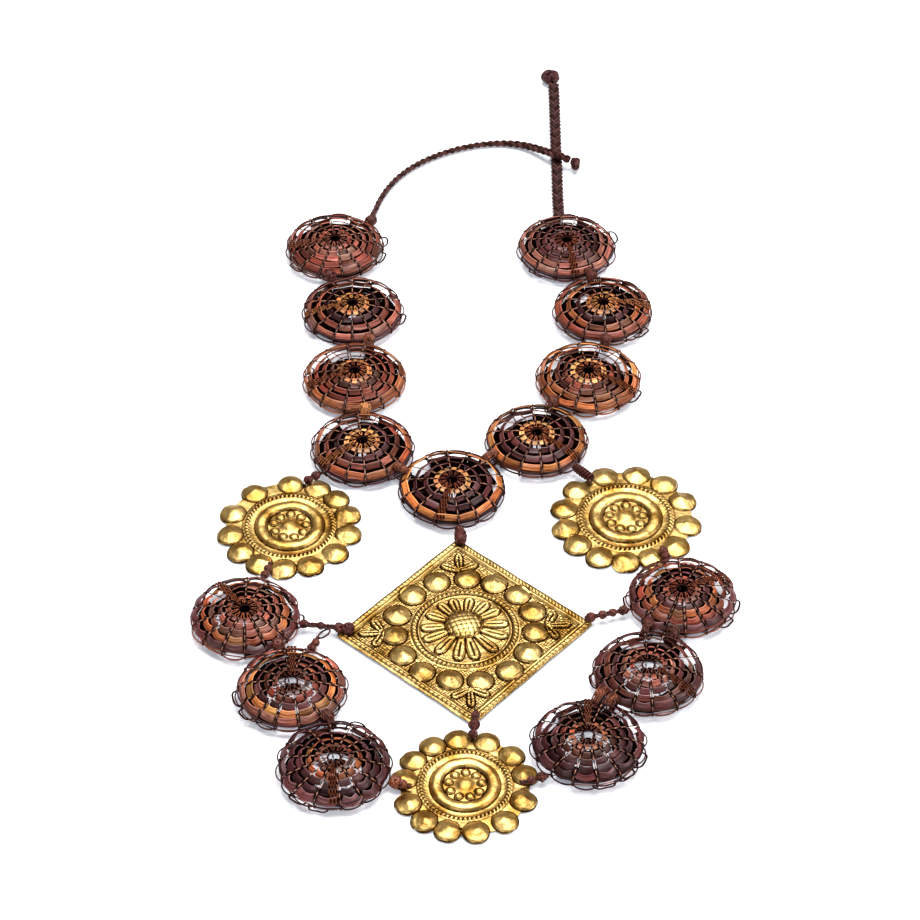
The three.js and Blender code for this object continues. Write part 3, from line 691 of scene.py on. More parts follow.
@dataclass
class Medallion:
    """A woven medallion: spokes of twisted thread, rings of strip above and below, and a looped rim."""

    node: str
    weave: Weave
    seed: int
    top: float = 8.1
    fall: float = 3.0
    rim_middle: float = 3.1
    foot: float = 0.5
    lift: float = 1.9
    thickness: float = 0.36
    gap: float = 0.36
    first_share: float = 0.305
    last_share: float = 0.9
    under_shares: tuple[float, ...] = (0.2, 0.36, 0.52, 0.68)
    clear_shares: tuple[float, ...] = (0.2, 0.56, 0.7)
    # The inside colour, near black, is painted shade: the lower web, the hub, the shoulder ring and the eye's
    # posts take it because the hollow between the webs lies in shade.
    inside: str = "1c0a08"
    end_shade: float = 0.3
    upper_sway: float = 7.0
    lower_sway: float = 1.5
    eye_share: float = 0.13
    eye_loops: int = 11
    spoke_start: float = 0.24
    spoke_end: float = 0.955
    spoke_size: float = 0.27
    spoke_twist: float = 3.4
    ridge_offsets: tuple[float, ...] = (-1.25, 0.0, 1.2)
    skein: Skein = field(default_factory=Skein)

    def __post_init__(self) -> None:
        """Takes the place from the frame, and the radius from the weave's share of the usual diameter."""
        self.centre = box_of(self.node)[0] * IN_PLAN
        self.radius = self.weave.share * MEDALLION_DIAMETER / 2
        self.draw = np.random.default_rng(self.seed)
        jitter = self.draw.normal(0, 1.2, SPOKES)
        self.bearings = self.weave.turn + (np.arange(SPOKES) + 0.5) * 360 / SPOKES + jitter
        self.shares = np.linspace(self.first_share, self.last_share, len(self.weave.rings))

    def upper(self, reach: np.ndarray) -> np.ndarray:
        """Height of the upper web at distances from the axis."""
        return self.top - self.fall * (reach / self.radius) ** 2

    def lower(self, reach: np.ndarray) -> np.ndarray:
        """Height of the lower web at distances from the axis."""
        return self.foot + self.lift * np.clip((reach / self.radius - 0.6) / 0.4, 0, 1) ** 1.7

    def lay_ring(self, ring: Ring, code: str) -> None:
        """Lays one ring of strip in the colour of a code."""
        height = self.upper if ring.upper else self.lower
        steps = np.array([0, 0.08, 0.27, 0.5, 0.73, 0.92, 1] if ring.upper else [0, 0.5, 1])[:, None]
        gap = (self.gap + 0.25 * self.weave.broad) * ring.upper + 0.05
        margin = math.degrees(gap / (ring.share * self.radius))
        # The two ends of each piece are darkened by end_shade: painted shade where the spoke thread wraps
        # them.
        shaded = tint(code) * np.where(np.abs(steps - 0.5) > 0.48, self.end_shade, 1)
        starts = self.radius * ring.share * (1 + self.draw.normal(0, 0.014, SPOKES))
        for index in range(SPOKES):
            after = (index + 1) % SPOKES
            jitter = self.draw.normal(0, 1, 8)
            if self.draw.random() > ring.keep:
                continue
            ends = (polar(self.bearings[index] + margin, starts[index] + 0.1 * jitter[0]),
                    polar(self.bearings[after] - margin, starts[after] + 0.1 * jitter[1]))
            bow = ring.bow * self.radius * (1 + 0.3 * jitter[2])
            plan = ends[0] + (ends[1] - ends[0]) * steps
            plan = plan + unit(ends[0] + ends[1]) * bow * np.sin(steps * math.pi)
            reach = np.linalg.norm(plan, axis=1)
            sway = np.clip(jitter[3:5], -2, 2) * (self.upper_sway if ring.upper else self.lower_sway)
            lean = np.radians(ring.tilt + sway[0] + sway[1] * (steps - 0.5))
            up = np.column_stack([plan / reach[:, None] * np.sin(lean), np.cos(lean)])
            line = np.column_stack([plan, height(reach) + ring.raised + 0.1 * jitter[4]])
            # Each piece's random brightness is partly the strip's own uneven dye and partly painted glints.
            light = np.clip(1 + 0.3 * jitter[5], 0.45, 1.8) * (1 + 0.09 * jitter[6:8].repeat([1, 2]))
            section = strip_section(ring.width * (1 + 0.08 * jitter[7]), self.thickness)
            self.skein.sweep(self.centre + line, up, section, np.clip(shaded * light, 0, 1), Slot.STRIP)

    def lay_spoke(self, bearing: float, inner: float) -> None:
        """Lays one spoke: out over the upper web, round the rim and back under the lower one."""
        top = np.linspace(self.spoke_start, self.spoke_end, 30) * self.radius
        rim = np.array([0.99, 1.0, 0.99]) * self.radius
        under = np.linspace(0.95, inner, 7) * self.radius
        reach = np.concatenate([top, rim, under])
        rise = np.concatenate([
            self.upper(top) + 0.12, [self.rim_middle + 1.3, self.rim_middle, self.rim_middle - 0.9],
            self.lower(under) - 0.25])
        line = self.centre + np.column_stack([polar(bearing, reach), rise])
        tangent = np.array([*polar(bearing + 90, 1.0), 0.0])
        shape = ((1, 0), (0.5, 0.62), (-0.5, 0.62), (-1, 0), (-0.5, -0.62), (0.5, -0.62))
        section = np.array(shape) * self.spoke_size
        light, dark = tint("bc8870") * self.draw.uniform(0.6, 1.4), tint(THREAD) * 0.6
        # The thread is darkened where it crosses a ring of strip, and round the rim and under the medallion:
        # painted shade between the strips and beneath them.
        cross = np.zeros(len(line))
        for share in self.shares:
            cross = np.maximum(cross, ridge(((reach / self.radius - share) / 0.042) ** 2, 0, 1))
        cross[len(top):] = 0.7
        shade = light + (dark - light) * cross[:, None]
        self.skein.sweep(line, tangent, section, shade, turn=run_of(line) * TAU / self.spoke_twist)
        for rise, out in ((self.rim_middle + 1.2, 0.98), (self.rim_middle - 0.5, 0.98)):
            place = self.centre + np.array([*polar(bearing, out * self.radius), rise])
            knot = place + np.array([[0, 0, -0.5], [0, 0, 0], [0, 0, 0.5]])
            self.skein.sweep(knot, tangent, round_section(0.5), tint(THREAD), swell=np.array([0.6, 1.1, 0.6]))

    def lay_rim(self) -> None:
        """Lays the thin wiry loops of the rim, and the loose ones that stand out from it."""
        bulge = self.weave.bulge
        layers = ((0.955, self.rim_middle + 1.5, 0.4 * bulge, 1.1), (0.96, self.rim_middle - 0.3, bulge, 1.4))
        steps = np.linspace(0, 1, 9)
        section = np.array([(0.27, 0), (0, 0.48), (-0.27, 0), (0, -0.48)])
        for share, rise, swing, light in layers:
            for index in range(SPOKES):
                ends = self.bearings[[index, (index + 1) % SPOKES]]
                span = (ends[1] - ends[0]) % 360
                bow = swing * self.draw.uniform(0.6, 1.4) * np.sin(steps * math.pi) ** 0.5
                plan = polar(ends[0] + span * steps, self.radius * (share + bow))
                wave = rise + self.draw.uniform(-0.4, 0.6) * np.sin(steps * math.pi)
                line = self.centre + np.column_stack([plan, wave])
                shade = tint(self.weave.rim) * light * self.draw.uniform(0.4, 1.1)
                self.skein.sweep(line, UP, section, shade)
        for bearing in self.weave.loose:
            spread = np.linspace(-1, 1, 16)
            reach = self.radius * 0.96 + self.draw.uniform(2.2, 3.0) * (1 - spread ** 4)
            wide = self.draw.uniform(9, 13)
            line = self.centre + np.column_stack([
                polar(bearing + wide * spread, reach), 3.0 + 0.8 * np.cos(spread * 2)])
            self.skein.sweep(line, UP, round_section(0.36, 4), tint(THREAD) * 0.8)

    def lay_middle(self) -> None:
        """Lays the wound eye, the fine loops round it and, unless the eye is clear, dark upright strands of
        painted shade in it.
        """
        around = np.linspace(0, 360, 24, endpoint=False)
        dark = tint(THREAD) * 0.8
        for share, rise, strand in ((0.115, self.top - 0.35, 0.34), (0.125, self.foot + 0.1, 0.4)):
            ring = np.column_stack([polar(around, share * self.radius), np.full(24, rise)])
            self.skein.sweep(self.centre + ring, UP, round_section(strand), dark, closed=True)
        steps = np.linspace(0, TAU, 12, endpoint=False)
        far = 0.075 if self.weave.clear else 0.062
        base = tint(self.weave.middle)
        for index in range(self.eye_loops):
            length = far * self.draw.uniform(0.92, 1.08)
            reach = self.radius * (self.eye_share + far - length * np.cos(steps))
            width = 8.5 * np.sin(steps) * (0.6 + 0.4 * (reach / self.radius - 0.12) / 0.13)
            plan = polar(index * 360 / self.eye_loops + self.draw.normal(0, 0.8) + width, reach)
            line = self.centre + np.column_stack([plan, self.upper(reach) + 0.1 - 0.35 * np.cos(steps + 3.1)])
            shade = base * self.draw.uniform(0.8, 1.9)
            self.skein.sweep(line, UP, round_section(0.17, 4), shade, closed=True)
        # Dark upright strands in the inside colour: painted shade, so that the eye looks black.
        for bearing in () if self.weave.clear else around[::2]:
            rise = np.linspace(self.foot, self.top - 0.5, 5)
            share = (rise - self.foot) / (self.top - self.foot)
            reach = self.radius * (self.eye_share + 0.06 * np.sin(share * math.pi))
            line = self.centre + np.column_stack([polar(np.full(5, bearing), reach), rise])
            tangent = np.array([*polar(bearing + 90, 1.0), 0.0])
            self.skein.sweep(line, tangent, round_section(0.34, 4), tint(self.inside))

    def lay_ridge(self) -> None:
        """Lays the chain-stitched braids that run from the eye to the rim."""
        reach = np.linspace(0.2, 0.975, 64) * self.radius
        rise = self.upper(reach) + 0.5
        tangent = polar(self.weave.ridge + 90, 1.0)
        light, dark = 0.5 * (tint(AMBER) + tint(self.weave.middle)), tint(THREAD) * 0.6
        bend = 0.35 * np.sin(reach / self.radius * 3 + self.seed)
        for offset in self.ridge_offsets:
            side = offset * (0.35 + 0.65 * reach / self.radius) + bend
            plan = polar(self.weave.ridge, reach) + side[:, None] * tangent
            line = self.centre + np.column_stack([plan, rise])
            self.skein.plait(line, UP, half_width=0.38, half_height=0.3, strand=0.29, period=3.4,
                             strands=2, colours=[light, dark], sides=4)

    def build(self, finishes: list[bpy.types.Material]) -> bpy.types.Object:
        """Weaves the medallion and joins it to the frame."""
        weave, last = self.weave, len(self.weave.rings) - 1
        usual = STRIP_WIDTHS[len(weave.rings)] + weave.broad
        for index, (share, code) in enumerate(zip(self.shares, weave.rings)):
            ring = Ring(share, usual + 0.3 * (index == last), 43, True, weave.bow * index / 2)
            self.lay_ring(ring if index else Ring(share, 1.9, 20, True), code)
        if not weave.broad:
            self.lay_ring(RIM_BAND, weave.rim)
        # The lower rings, the hub and the shoulder ring take the inside colour: painted shade in the hollow
        # between the webs.
        for share in self.clear_shares if weave.clear else self.under_shares:
            self.lay_ring(Ring(share, 3.8, -6, keep=0.99), self.inside)
        if weave.clear:
            self.lay_ring(HUB, self.inside)
        self.lay_ring(SHOULDER, self.inside)
        self.lay_ring(FOOT_BAND, PINK)
        for bearing in self.bearings:
            self.lay_spoke(bearing, 0.26 if weave.clear else 0.12)
        self.lay_rim()
        self.lay_middle()
        self.lay_ridge()
        piece = self.skein.piece(self.node.replace("medallion", "weave"), finishes)
        return settle(piece, [self.node])


@dataclass
class Sheet:
    """An embossed brass sheet that lies on the floor: a relief on top and its hollow back below."""

    node: str
    name: str
    seed: int
    sheet: float = 0.5
    base: float = 0.95
    back_rings: int = 16
    back_patina: float = 0.55

    def __post_init__(self) -> None:
        """Takes the place from the frame."""
        self.centre = box_of(self.node)[0] * IN_PLAN

    def relief(self, x: np.ndarray, y: np.ndarray) -> np.ndarray:
        """Height of the upper side over points of the sheet."""
        raise NotImplementedError

    def ground(self, x: np.ndarray, y: np.ndarray) -> np.ndarray:
        """Where the sheet's ground is stippled, from 0 to 1."""
        return np.zeros_like(x)

    def blank(self) -> bpy.types.Object:
        """The flat sheet, already cut to its outline, with enough points for its relief."""
        raise NotImplementedError

    def hollow(self, x: np.ndarray, y: np.ndarray) -> np.ndarray:
        """How deep each point lies among the points round it, from 0 to 1."""
        here = self.relief(x, y)
        around = np.zeros_like(here)
        for bearing in range(0, 360, 60):
            across, up = polar(bearing, 0.6)
            around += self.relief(x + across, y + up) / 6
        return np.clip((around - here) / 0.22, -0.5, 1)

    def build(self, finish: bpy.types.Material) -> bpy.types.Object:
        """Embosses the blank, adds its edge and back, and joins it to the frame."""
        blank = self.blank()
        flat = np.array([vertex.co for vertex in blank.data.vertices])
        faces = [tuple(polygon.vertices) for polygon in blank.data.polygons]
        rim = self.rim_of(blank)
        bpy.data.objects.remove(blank)
        x, y = flat[:, 0], flat[:, 1]
        top = np.column_stack([x, y, self.relief(x, y)])
        patina, ground = self.hollow(x, y), self.ground(x, y)
        back, count = [], len(rim)
        for share in np.concatenate([[1.0, 0.985], np.linspace(0.965, 0.04, self.back_rings)]):
            ring = top[rim, :2] * share
            rise = np.maximum(self.relief(ring[:, 0], ring[:, 1]) - self.sheet, 0.02)
            back.append(np.column_stack([ring, rise]))
        rows = [rim] + [len(top) + index * count + np.arange(count) for index in range(len(back))]
        for outer, inner in zip(rows, rows[1:]):
            faces += np.stack([outer, inner, np.roll(inner, -1), np.roll(outer, -1)], axis=1).tolist()
        faces.append(rows[-1].tolist())
        points = np.concatenate([top, *back])
        mesh = bpy.data.meshes.new(self.name)
        mesh.from_pydata((points + self.centre) * MM, [], faces)
        extra = len(points) - len(top)
        for label, values, beyond in (("patina", patina, self.back_patina), ("ground", ground, 0.0)):
            add_attribute(mesh, label, "FLOAT", "value", np.concatenate([values, np.full(extra, beyond)]))
        mesh.materials.append(finish)
        piece = add_object(self.name, mesh)
        pick(piece)
        bpy.ops.object.mode_set(mode="EDIT")
        bpy.ops.mesh.select_all(action="SELECT")
        bpy.ops.mesh.normals_make_consistent(inside=False)
        bpy.ops.object.mode_set(mode="OBJECT")
        smooth(piece, CREASE_OF_SHEETS)
        return settle(piece, [self.node])

    @staticmethod
    def rim_of(blank: bpy.types.Object) -> np.ndarray:
        """The blank's outermost points, in order round it."""
        uses: dict[tuple[int, int], int] = {}
        for polygon in blank.data.polygons:
            for key in polygon.edge_keys:
                uses[key] = uses.get(key, 0) + 1
        rim = sorted({index for key, times in uses.items() if times == 1 for index in key})
        places = np.array([blank.data.vertices[index].co for index in rim])
        return np.array(rim)[np.argsort(np.arctan2(places[:, 1], places[:, 0]))]


@dataclass
class Rosette(Sheet):
    """A scalloped rosette: thirteen lobes round a rope ring, a raised ring and a flower of bosses.

    Its places and sizes, other than its diameter and its heights, are shares of its radius.

    Attributes:
        lobes: The bearings of its lobes.
        diameter: Its width over the lobes.
        pierced: The bearing and the place of a hole in a lobe.
        lobe_height: How high the lobes stand over the floor.
        lines: The place, width and height of its fine raised lines.
        beads: How many beads its rope ring has.
        steps: How many points go round it.
    """

    lobes: tuple[float, ...] = ()
    diameter: float = 54.0
    pierced: tuple[float, float] | None = None
    lobe_height: float = 2.75
    lobe_place: float = 0.822
    lobe_size: float = 0.176
    notch: float = 0.865
    ring_place: float = 0.393
    ring_width: float = 0.078
    ring_height: float = 1.55
    lines: tuple[tuple[float, float, float], ...] = (
        (0.325, 0.012, 0.18), (0.545, 0.01, 0.3), (0.63, 0.012, 0.35))
    rope_place: float = 0.588
    rope_width: float = 0.034
    beads: int = 62
    bosses: int = 9
    boss_place: float = 0.222
    boss_size: float = 0.058
    boss_height: float = 0.95
    middle_size: float = 0.112
    middle_height: float = 1.1
    field_share: float = 0.645
    steps: int = 528

    def outline(self, bearing: np.ndarray) -> np.ndarray:
        """How far the scalloped outline is from the middle, at bearings in degrees."""
        radius = self.diameter / 2
        reach, place = (self.lobe_size + 0.002) * radius + 0.2, self.lobe_place * radius
        edge = np.full_like(bearing, self.notch * radius)
        for lobe in self.lobes:
            swing = np.radians((bearing - lobe + 180) % 360 - 180)
            beside = reach ** 2 - (place * np.sin(swing)) ** 2
            far = place * np.cos(swing) + np.sqrt(np.maximum(beside, 0))
            edge = np.where((beside > 0) & (np.abs(swing) < 0.6), np.maximum(edge, far), edge)
        return np.minimum(edge, radius) + 0.12 * np.sin(np.radians(bearing * 17))

    def blank(self) -> bpy.types.Object:
        """A profile line turned into a disc with the Screw modifier, then cut to the scallops."""
        shares = np.concatenate([
            np.linspace(0, 0.316, 19), np.linspace(0.316, 0.475, 13)[1:], [0.495, 0.515, 0.535],
            np.linspace(0.55, 0.636, 11), self.field_share + np.linspace(0, 1 - self.field_share, 27)])
        radius = self.diameter / 2
        mesh = bpy.data.meshes.new("blank")
        mesh.from_pydata([(share * radius, 0, 0) for share in shares],
                         [(index, index + 1) for index in range(len(shares) - 1)], [])
        blank = add_object("blank", mesh)
        pick(blank)
        screw = blank.modifiers.new("turned", "SCREW")
        screw.steps = screw.render_steps = self.steps
        screw.use_merge_vertices = True
        screw.merge_threshold = 1e-4
        bpy.ops.object.modifier_apply(modifier=screw.name)
        bpy.ops.object.mode_set(mode="EDIT")
        bpy.ops.mesh.select_all(action="SELECT")
        bpy.ops.mesh.remove_doubles(threshold=1e-4)
        bpy.ops.object.mode_set(mode="OBJECT")
        flat = np.array([vertex.co for vertex in blank.data.vertices])
        start, reach = self.field_share * radius, np.hypot(flat[:, 0], flat[:, 1])
        edge = self.outline(np.degrees(np.arctan2(flat[:, 1], flat[:, 0])))
        fit = (start + (edge - start) * (reach - start) / (radius - start)) / np.maximum(reach, 1e-6)
        flat[:, :2] *= np.where(reach > start, fit, 1)[:, None]
        blank.data.vertices.foreach_set("co", flat.ravel())
        return blank

    def relief(self, x: np.ndarray, y: np.ndarray) -> np.ndarray:
        """Height of the rosette's upper side."""
        radius = self.diameter / 2
        reach, around = np.hypot(x, y), np.arctan2(y, x)
        share = reach / radius
        rise = self.base + 0.1 * ripple(x, y, self.seed, 9.0) - 0.25 * ease(share, 0.78, 0.95)
        ring = mound((share - self.ring_place) / self.ring_width)
        rise += self.ring_height * ring ** 0.8 + 0.22 * (share < self.ring_place) * (1 - ring)
        for place, width, height in self.lines:
            rise += height * ridge(share, place, width)
        across = (share - self.rope_place) / self.rope_width
        bead = np.abs(np.sin(around * self.beads / 2 + 0.5 * across)) ** 0.9
        rise += (0.1 + 0.72 * bead) * mound(across)
        for index in range(self.bosses):
            middle = polar(index * 360 / self.bosses + 8, self.boss_place * radius)
            gap = np.hypot(x - middle[0], y - middle[1]) / (self.boss_size * radius)
            rise += self.boss_height * mound(gap, 0.6) - 0.22 * ridge(gap, 0, 0.35)
        gap = reach / (self.middle_size * radius)
        rise += self.middle_height * mound(gap) + 0.25 * ridge(gap, 1.12, 0.12)
        draw = np.random.default_rng(self.seed)
        for bearing in self.lobes:
            middle = polar(bearing, self.lobe_place * radius)
            peak = draw.uniform(-0.12, 0.12, 2)
            height, dent = draw.uniform(0.88, 1.0), draw.uniform(-0.35, 0.35, 2)
            across, up = ((axis - at) / (self.lobe_size * radius) for axis, at in zip((x, y), middle))
            gap = np.hypot(across, up)
            dome = beaten_dome(across - peak[0], up - peak[1], gap, draw)
            dimple = 0.05 * np.exp(-((across - dent[0]) ** 2 + (up - dent[1]) ** 2) / 0.05)
            rise += (self.lobe_height - 0.85) * height * (dome - dimple * (gap < 1))
        if self.pierced:
            hole = polar(self.pierced[0], self.pierced[1] * radius)
            rise -= 0.75 * (np.hypot(x - hole[0], y - hole[1]) < 0.75)
        return rise


@dataclass(frozen=True)
class BeadBorder:
    """The row of slanted beads along one side of the plate.

    Attributes:
        side: Which side it follows, as SquarePlate.sides counts them.
        place: How far it is from the side.
        width: Half its width.
        pitch: The distance from bead to bead.
        slant: How much the beads slant.
        height: How high they stand.
    """

    side: int
    place: float
    width: float
    pitch: float
    slant: float
    height: float


@dataclass
class SquarePlate(Sheet):
    """The embossed square: bead borders, fifteen domes, a rope ring, a flower and leaves.

    Attributes:
        side: Its side.
        turn: How far it is turned from standing on its corner, in degrees.
        domes: The bearings of its domes.
        clips: How much is cut off each corner.
        flower: Where the flower's middle is.
        borders: Its bead borders.
        leaves: The leaves of a corner, each as its spread in degrees, its length and its width.
        lines: The place, width and height of its fine raised rings.
        cells: How many cells its grid has along a side.
    """

    side: float = 65.0
    turn: float = 3.5
    domes: tuple[float, ...] = ()
    dome_place: float = 25.5
    dome_height: float = 2.0
    clips: tuple[float, float, float, float] = (0.4, 0.4, 0.5, 0.5)
    flower: tuple[float, float] = (-0.3, 1.9)
    petals: int = 14
    petal_root: float = 6.3
    petal_length: float = 9.2
    boss_size: float = 6.9
    boss_height: float = 2.4
    leaf_root: float = 29.2
    leaves: tuple[tuple[float, float, float], ...] = ((-62, 7.4, 3.1), (0, 8.6, 2.8), (62, 7.4, 3.1))
    vein: float = 0.5
    borders: tuple[BeadBorder, ...] = (
        BeadBorder(0, 1.25, 0.6, 0.78, 0.8, 0.42), BeadBorder(1, 1.3, 0.65, 0.85, -0.9, 0.32),
        BeadBorder(2, 1.75, 0.72, 1.02, 0.7, 0.6), BeadBorder(3, 1.35, 0.75, 0.95, 1.0, 0.55))
    rope_place: float = 18.25
    rope_beads: int = 68
    lines: tuple[tuple[float, float, float], ...] = ((16.55, 0.35, 0.4), (19.6, 0.28, 0.2))
    cells: int = 236

    def blank(self) -> bpy.types.Object:
        """A fine grid, with its corners drawn in and its sides a little uneven."""
        bpy.ops.mesh.primitive_grid_add(x_subdivisions=self.cells, y_subdivisions=self.cells, size=self.side)
        blank = bpy.context.object
        half, tilt = self.side / 2, math.radians(45 + self.turn)
        flat = np.array([vertex.co for vertex in blank.data.vertices])
        u, v = flat[:, 0], flat[:, 1]
        level = np.maximum(np.abs(u), np.abs(v))
        angle = np.arctan2(v, u)
        square = half / np.maximum(np.abs(np.cos(angle)), np.abs(np.sin(angle)))
        edge = square.copy()
        for corner, clip in enumerate(self.clips):
            swing = (angle - math.radians(corner * 90 - 45) + math.pi) % TAU - math.pi
            cut = (half * math.sqrt(2) - clip) / np.maximum(np.cos(swing), 0.2)
            edge = np.where(np.abs(swing) < 0.7, np.minimum(edge, cut), edge)
        uneven = 1 - (0.002 + 0.002 * np.sin(angle * 9 + 1) + 0.0015 * np.sin(angle * 23))
        fit = 1 + (edge / square * uneven - 1) * ease(level / half, 0.72, 1.0)
        u, v = u * fit, v * fit
        flat = np.column_stack([u * math.cos(tilt) - v * math.sin(tilt),
                                u * math.sin(tilt) + v * math.cos(tilt), 0 * u])
        blank.data.vertices.foreach_set("co", flat.ravel())
        return blank

    def sides(self, x: np.ndarray, y: np.ndarray) -> tuple[np.ndarray, np.ndarray, np.ndarray]:
        """How far each point is from the nearest side, how far along it, and which side it is."""
        tilt = math.radians(45 + self.turn)
        u, v = x * math.cos(tilt) + y * math.sin(tilt), -x * math.sin(tilt) + y * math.cos(tilt)
        wide = np.abs(u) > np.abs(v)
        side = np.where(wide, np.where(u > 0, 0, 2), np.where(v > 0, 1, 3))
        return self.side / 2 - np.maximum(np.abs(u), np.abs(v)), np.where(wide, v, u), side

    def leaf(self, x: np.ndarray, y: np.ndarray, root: np.ndarray, bearing: float, length: float,
             width: float) -> np.ndarray:
        """Height of one petal or leaf with a raised outline and a grooved vein.

        Args:
            x: Across, in millimetres.
            y: Up, in millimetres.
            root: Where it starts.
            bearing: Which way it points.
            length: Its length.
            width: Its greatest width.

        Returns:
            Height over the ground.
        """
        ahead = polar(bearing, 1.0)
        along = ((x - root[0]) * ahead[0] + (y - root[1]) * ahead[1]) / length
        across = -(x - root[0]) * ahead[1] + (y - root[1]) * ahead[0]
        place, broadest = np.clip(along, 0, 1), 0.72
        tip = width / 2 * mound((place - broadest) / (1 - broadest))
        stem = width / 2 * (0.5 + 0.5 * ease(place, -0.2, broadest))
        share = np.abs(across) / np.maximum(np.where(place < broadest, stem, tip), 0.05)
        inside = (share < 1) & (along > 0) & (along < 1)
        body = mound(share, 0.45)
        groove = ridge(across, 0, 0.26) * ease(along, 0.1, 0.3) * (1 - ease(along, broadest, 0.95))
        return np.where(inside, 0.85 * body + 0.3 * ridge(share, 0.82, 0.2) * body - self.vein * groove, 0)

    def border(self, x: np.ndarray, y: np.ndarray) -> np.ndarray:
        """Height of the raised band with its beads and its line along the four sides."""
        inset, along, side = self.sides(x, y)
        rise = 0.38 * ease(inset, 3.9, 3.1) * (1 - 0.5 * ease(inset, 0.6, 0.0))
        for row in self.borders:
            across = (inset - row.place) / row.width
            bead = np.abs(np.sin(along * math.pi / 2 / row.pitch + row.slant * across)) ** 0.7
            rise += (side == row.side) * row.height * bead * mound(across)
        return rise + 0.18 * ridge(inset, 2.9, 0.28)

    def dome_field(self, x: np.ndarray, y: np.ndarray) -> np.ndarray:
        """Height of the hammered domes in their round."""
        rise = np.zeros_like(x)
        draw = np.random.default_rng(self.seed)
        for bearing in self.domes:
            middle = polar(bearing, self.dome_place + draw.uniform(-0.4, 0.4))
            size, height, dent = draw.uniform(4.45, 4.85), draw.uniform(0.86, 1.0), draw.uniform(-0.3, 0.3, 2)
            across, up = (x - middle[0]) / size, (y - middle[1]) / size
            gap = np.hypot(across, up)
            dome = beaten_dome(across, up, gap, draw)
            dimple = 0.09 * np.exp(-((across - dent[0]) ** 2 + (up - dent[1]) ** 2) / 0.03)
            rise += self.dome_height * height * (dome - dimple * (gap < 1)) - 0.1 * ridge(gap, 1.06, 0.07)
        return rise

    def leafage(self, x: np.ndarray, y: np.ndarray) -> np.ndarray:
        """Height of the flower's petals and the corners' leaves."""
        rise = np.zeros_like(x)
        flower = np.array(self.flower)
        for index in range(self.petals):
            bearing = index * 360 / self.petals + self.turn + 2.5 * math.sin(index * 2.1)
            length = self.petal_length - flower @ polar(bearing, 1.0)
            root = flower + polar(bearing, self.petal_root)
            rise = np.maximum(rise, self.leaf(x, y, root, bearing, length, 2.5 + 0.14 * length))
        for axis in np.arange(4) * 90 + self.turn:
            for spread, length, width in self.leaves:
                root = polar(axis, self.leaf_root)
                rise = np.maximum(rise, self.leaf(x, y, root, axis + spread, length, width))
        return rise

    def relief(self, x: np.ndarray, y: np.ndarray) -> np.ndarray:
        """Height of the plate's upper side."""
        reach, around = np.hypot(x, y), np.arctan2(y, x)
        rise = self.base + 0.07 * ripple(x, y, self.seed, 11.0)
        rise += self.border(x, y) + self.dome_field(x, y) + self.leafage(x, y)
        across = reach - self.rope_place
        bead = np.abs(np.sin(around * self.rope_beads / 2 + 0.7 * across)) ** 0.7
        rise += (0.25 + 0.6 * bead) * mound(across)
        for place, width, height in self.lines:
            rise += height * ridge(reach, place, width)
        gap = np.hypot(x - self.flower[0], y - self.flower[1]) / self.boss_size
        hatch = np.abs(np.sin((x * 0.94 + y * 0.34) * 1.65)) ** 8
        hatch += np.abs(np.sin((y * 0.97 - x * 0.2) * 1.5)) ** 8
        rise += self.boss_height * mound(gap, 0.55) - 0.15 * hatch * (gap < 0.86)
        grain = np.sin(x * 4.9 + 1.3 * np.sin(y)) * np.sin(y * 5.1 + np.sin(x))
        return rise + 0.09 * self.ground(x, y) * grain

    def ground(self, x: np.ndarray, y: np.ndarray) -> np.ndarray:
        """Where the plate's ground is stippled: between the domes, and round the leaves."""
        reach = np.hypot(x, y)
        inset = self.sides(x, y)[0]
        free = ease(inset, 3.6, 4.3) * ease(reach, 19.6, 20.4)
        for bearing in self.domes:
            middle = polar(bearing, self.dome_place)
            free = free * ease(np.hypot(x - middle[0], y - middle[1]), 4.6, 5.2)
        return np.maximum(free, ease(reach, 15.9, 15.4) * ease(reach, 13.2, 14.2) * 0.6)


@dataclass(frozen=True)
class Span:
    """Where a tie runs: its ends, and the ways ahead, to its side and up from it."""

    start: np.ndarray
    end: np.ndarray
    ahead: np.ndarray
    side: np.ndarray
    top: np.ndarray

    @classmethod
    def of(cls, node: str) -> Span:
        """The span of a tie's node in the frame."""
        start, end = axis_of(node)
        ahead = unit(end - start)
        side = unit(np.cross(ahead, UP))
        return cls(start, end, ahead, side, np.cross(side, ahead))

    @property
    def length(self) -> float:
        """How long it is."""
        return float(np.linalg.norm(self.end - self.start))

    def at(self, share: float, lift: float) -> np.ndarray:
        """The point at a share of its length, no lower over the floor than a lift."""
        place = self.start + (self.end - self.start) * share
        return np.array([place[0], place[1], max(place[2], lift)])


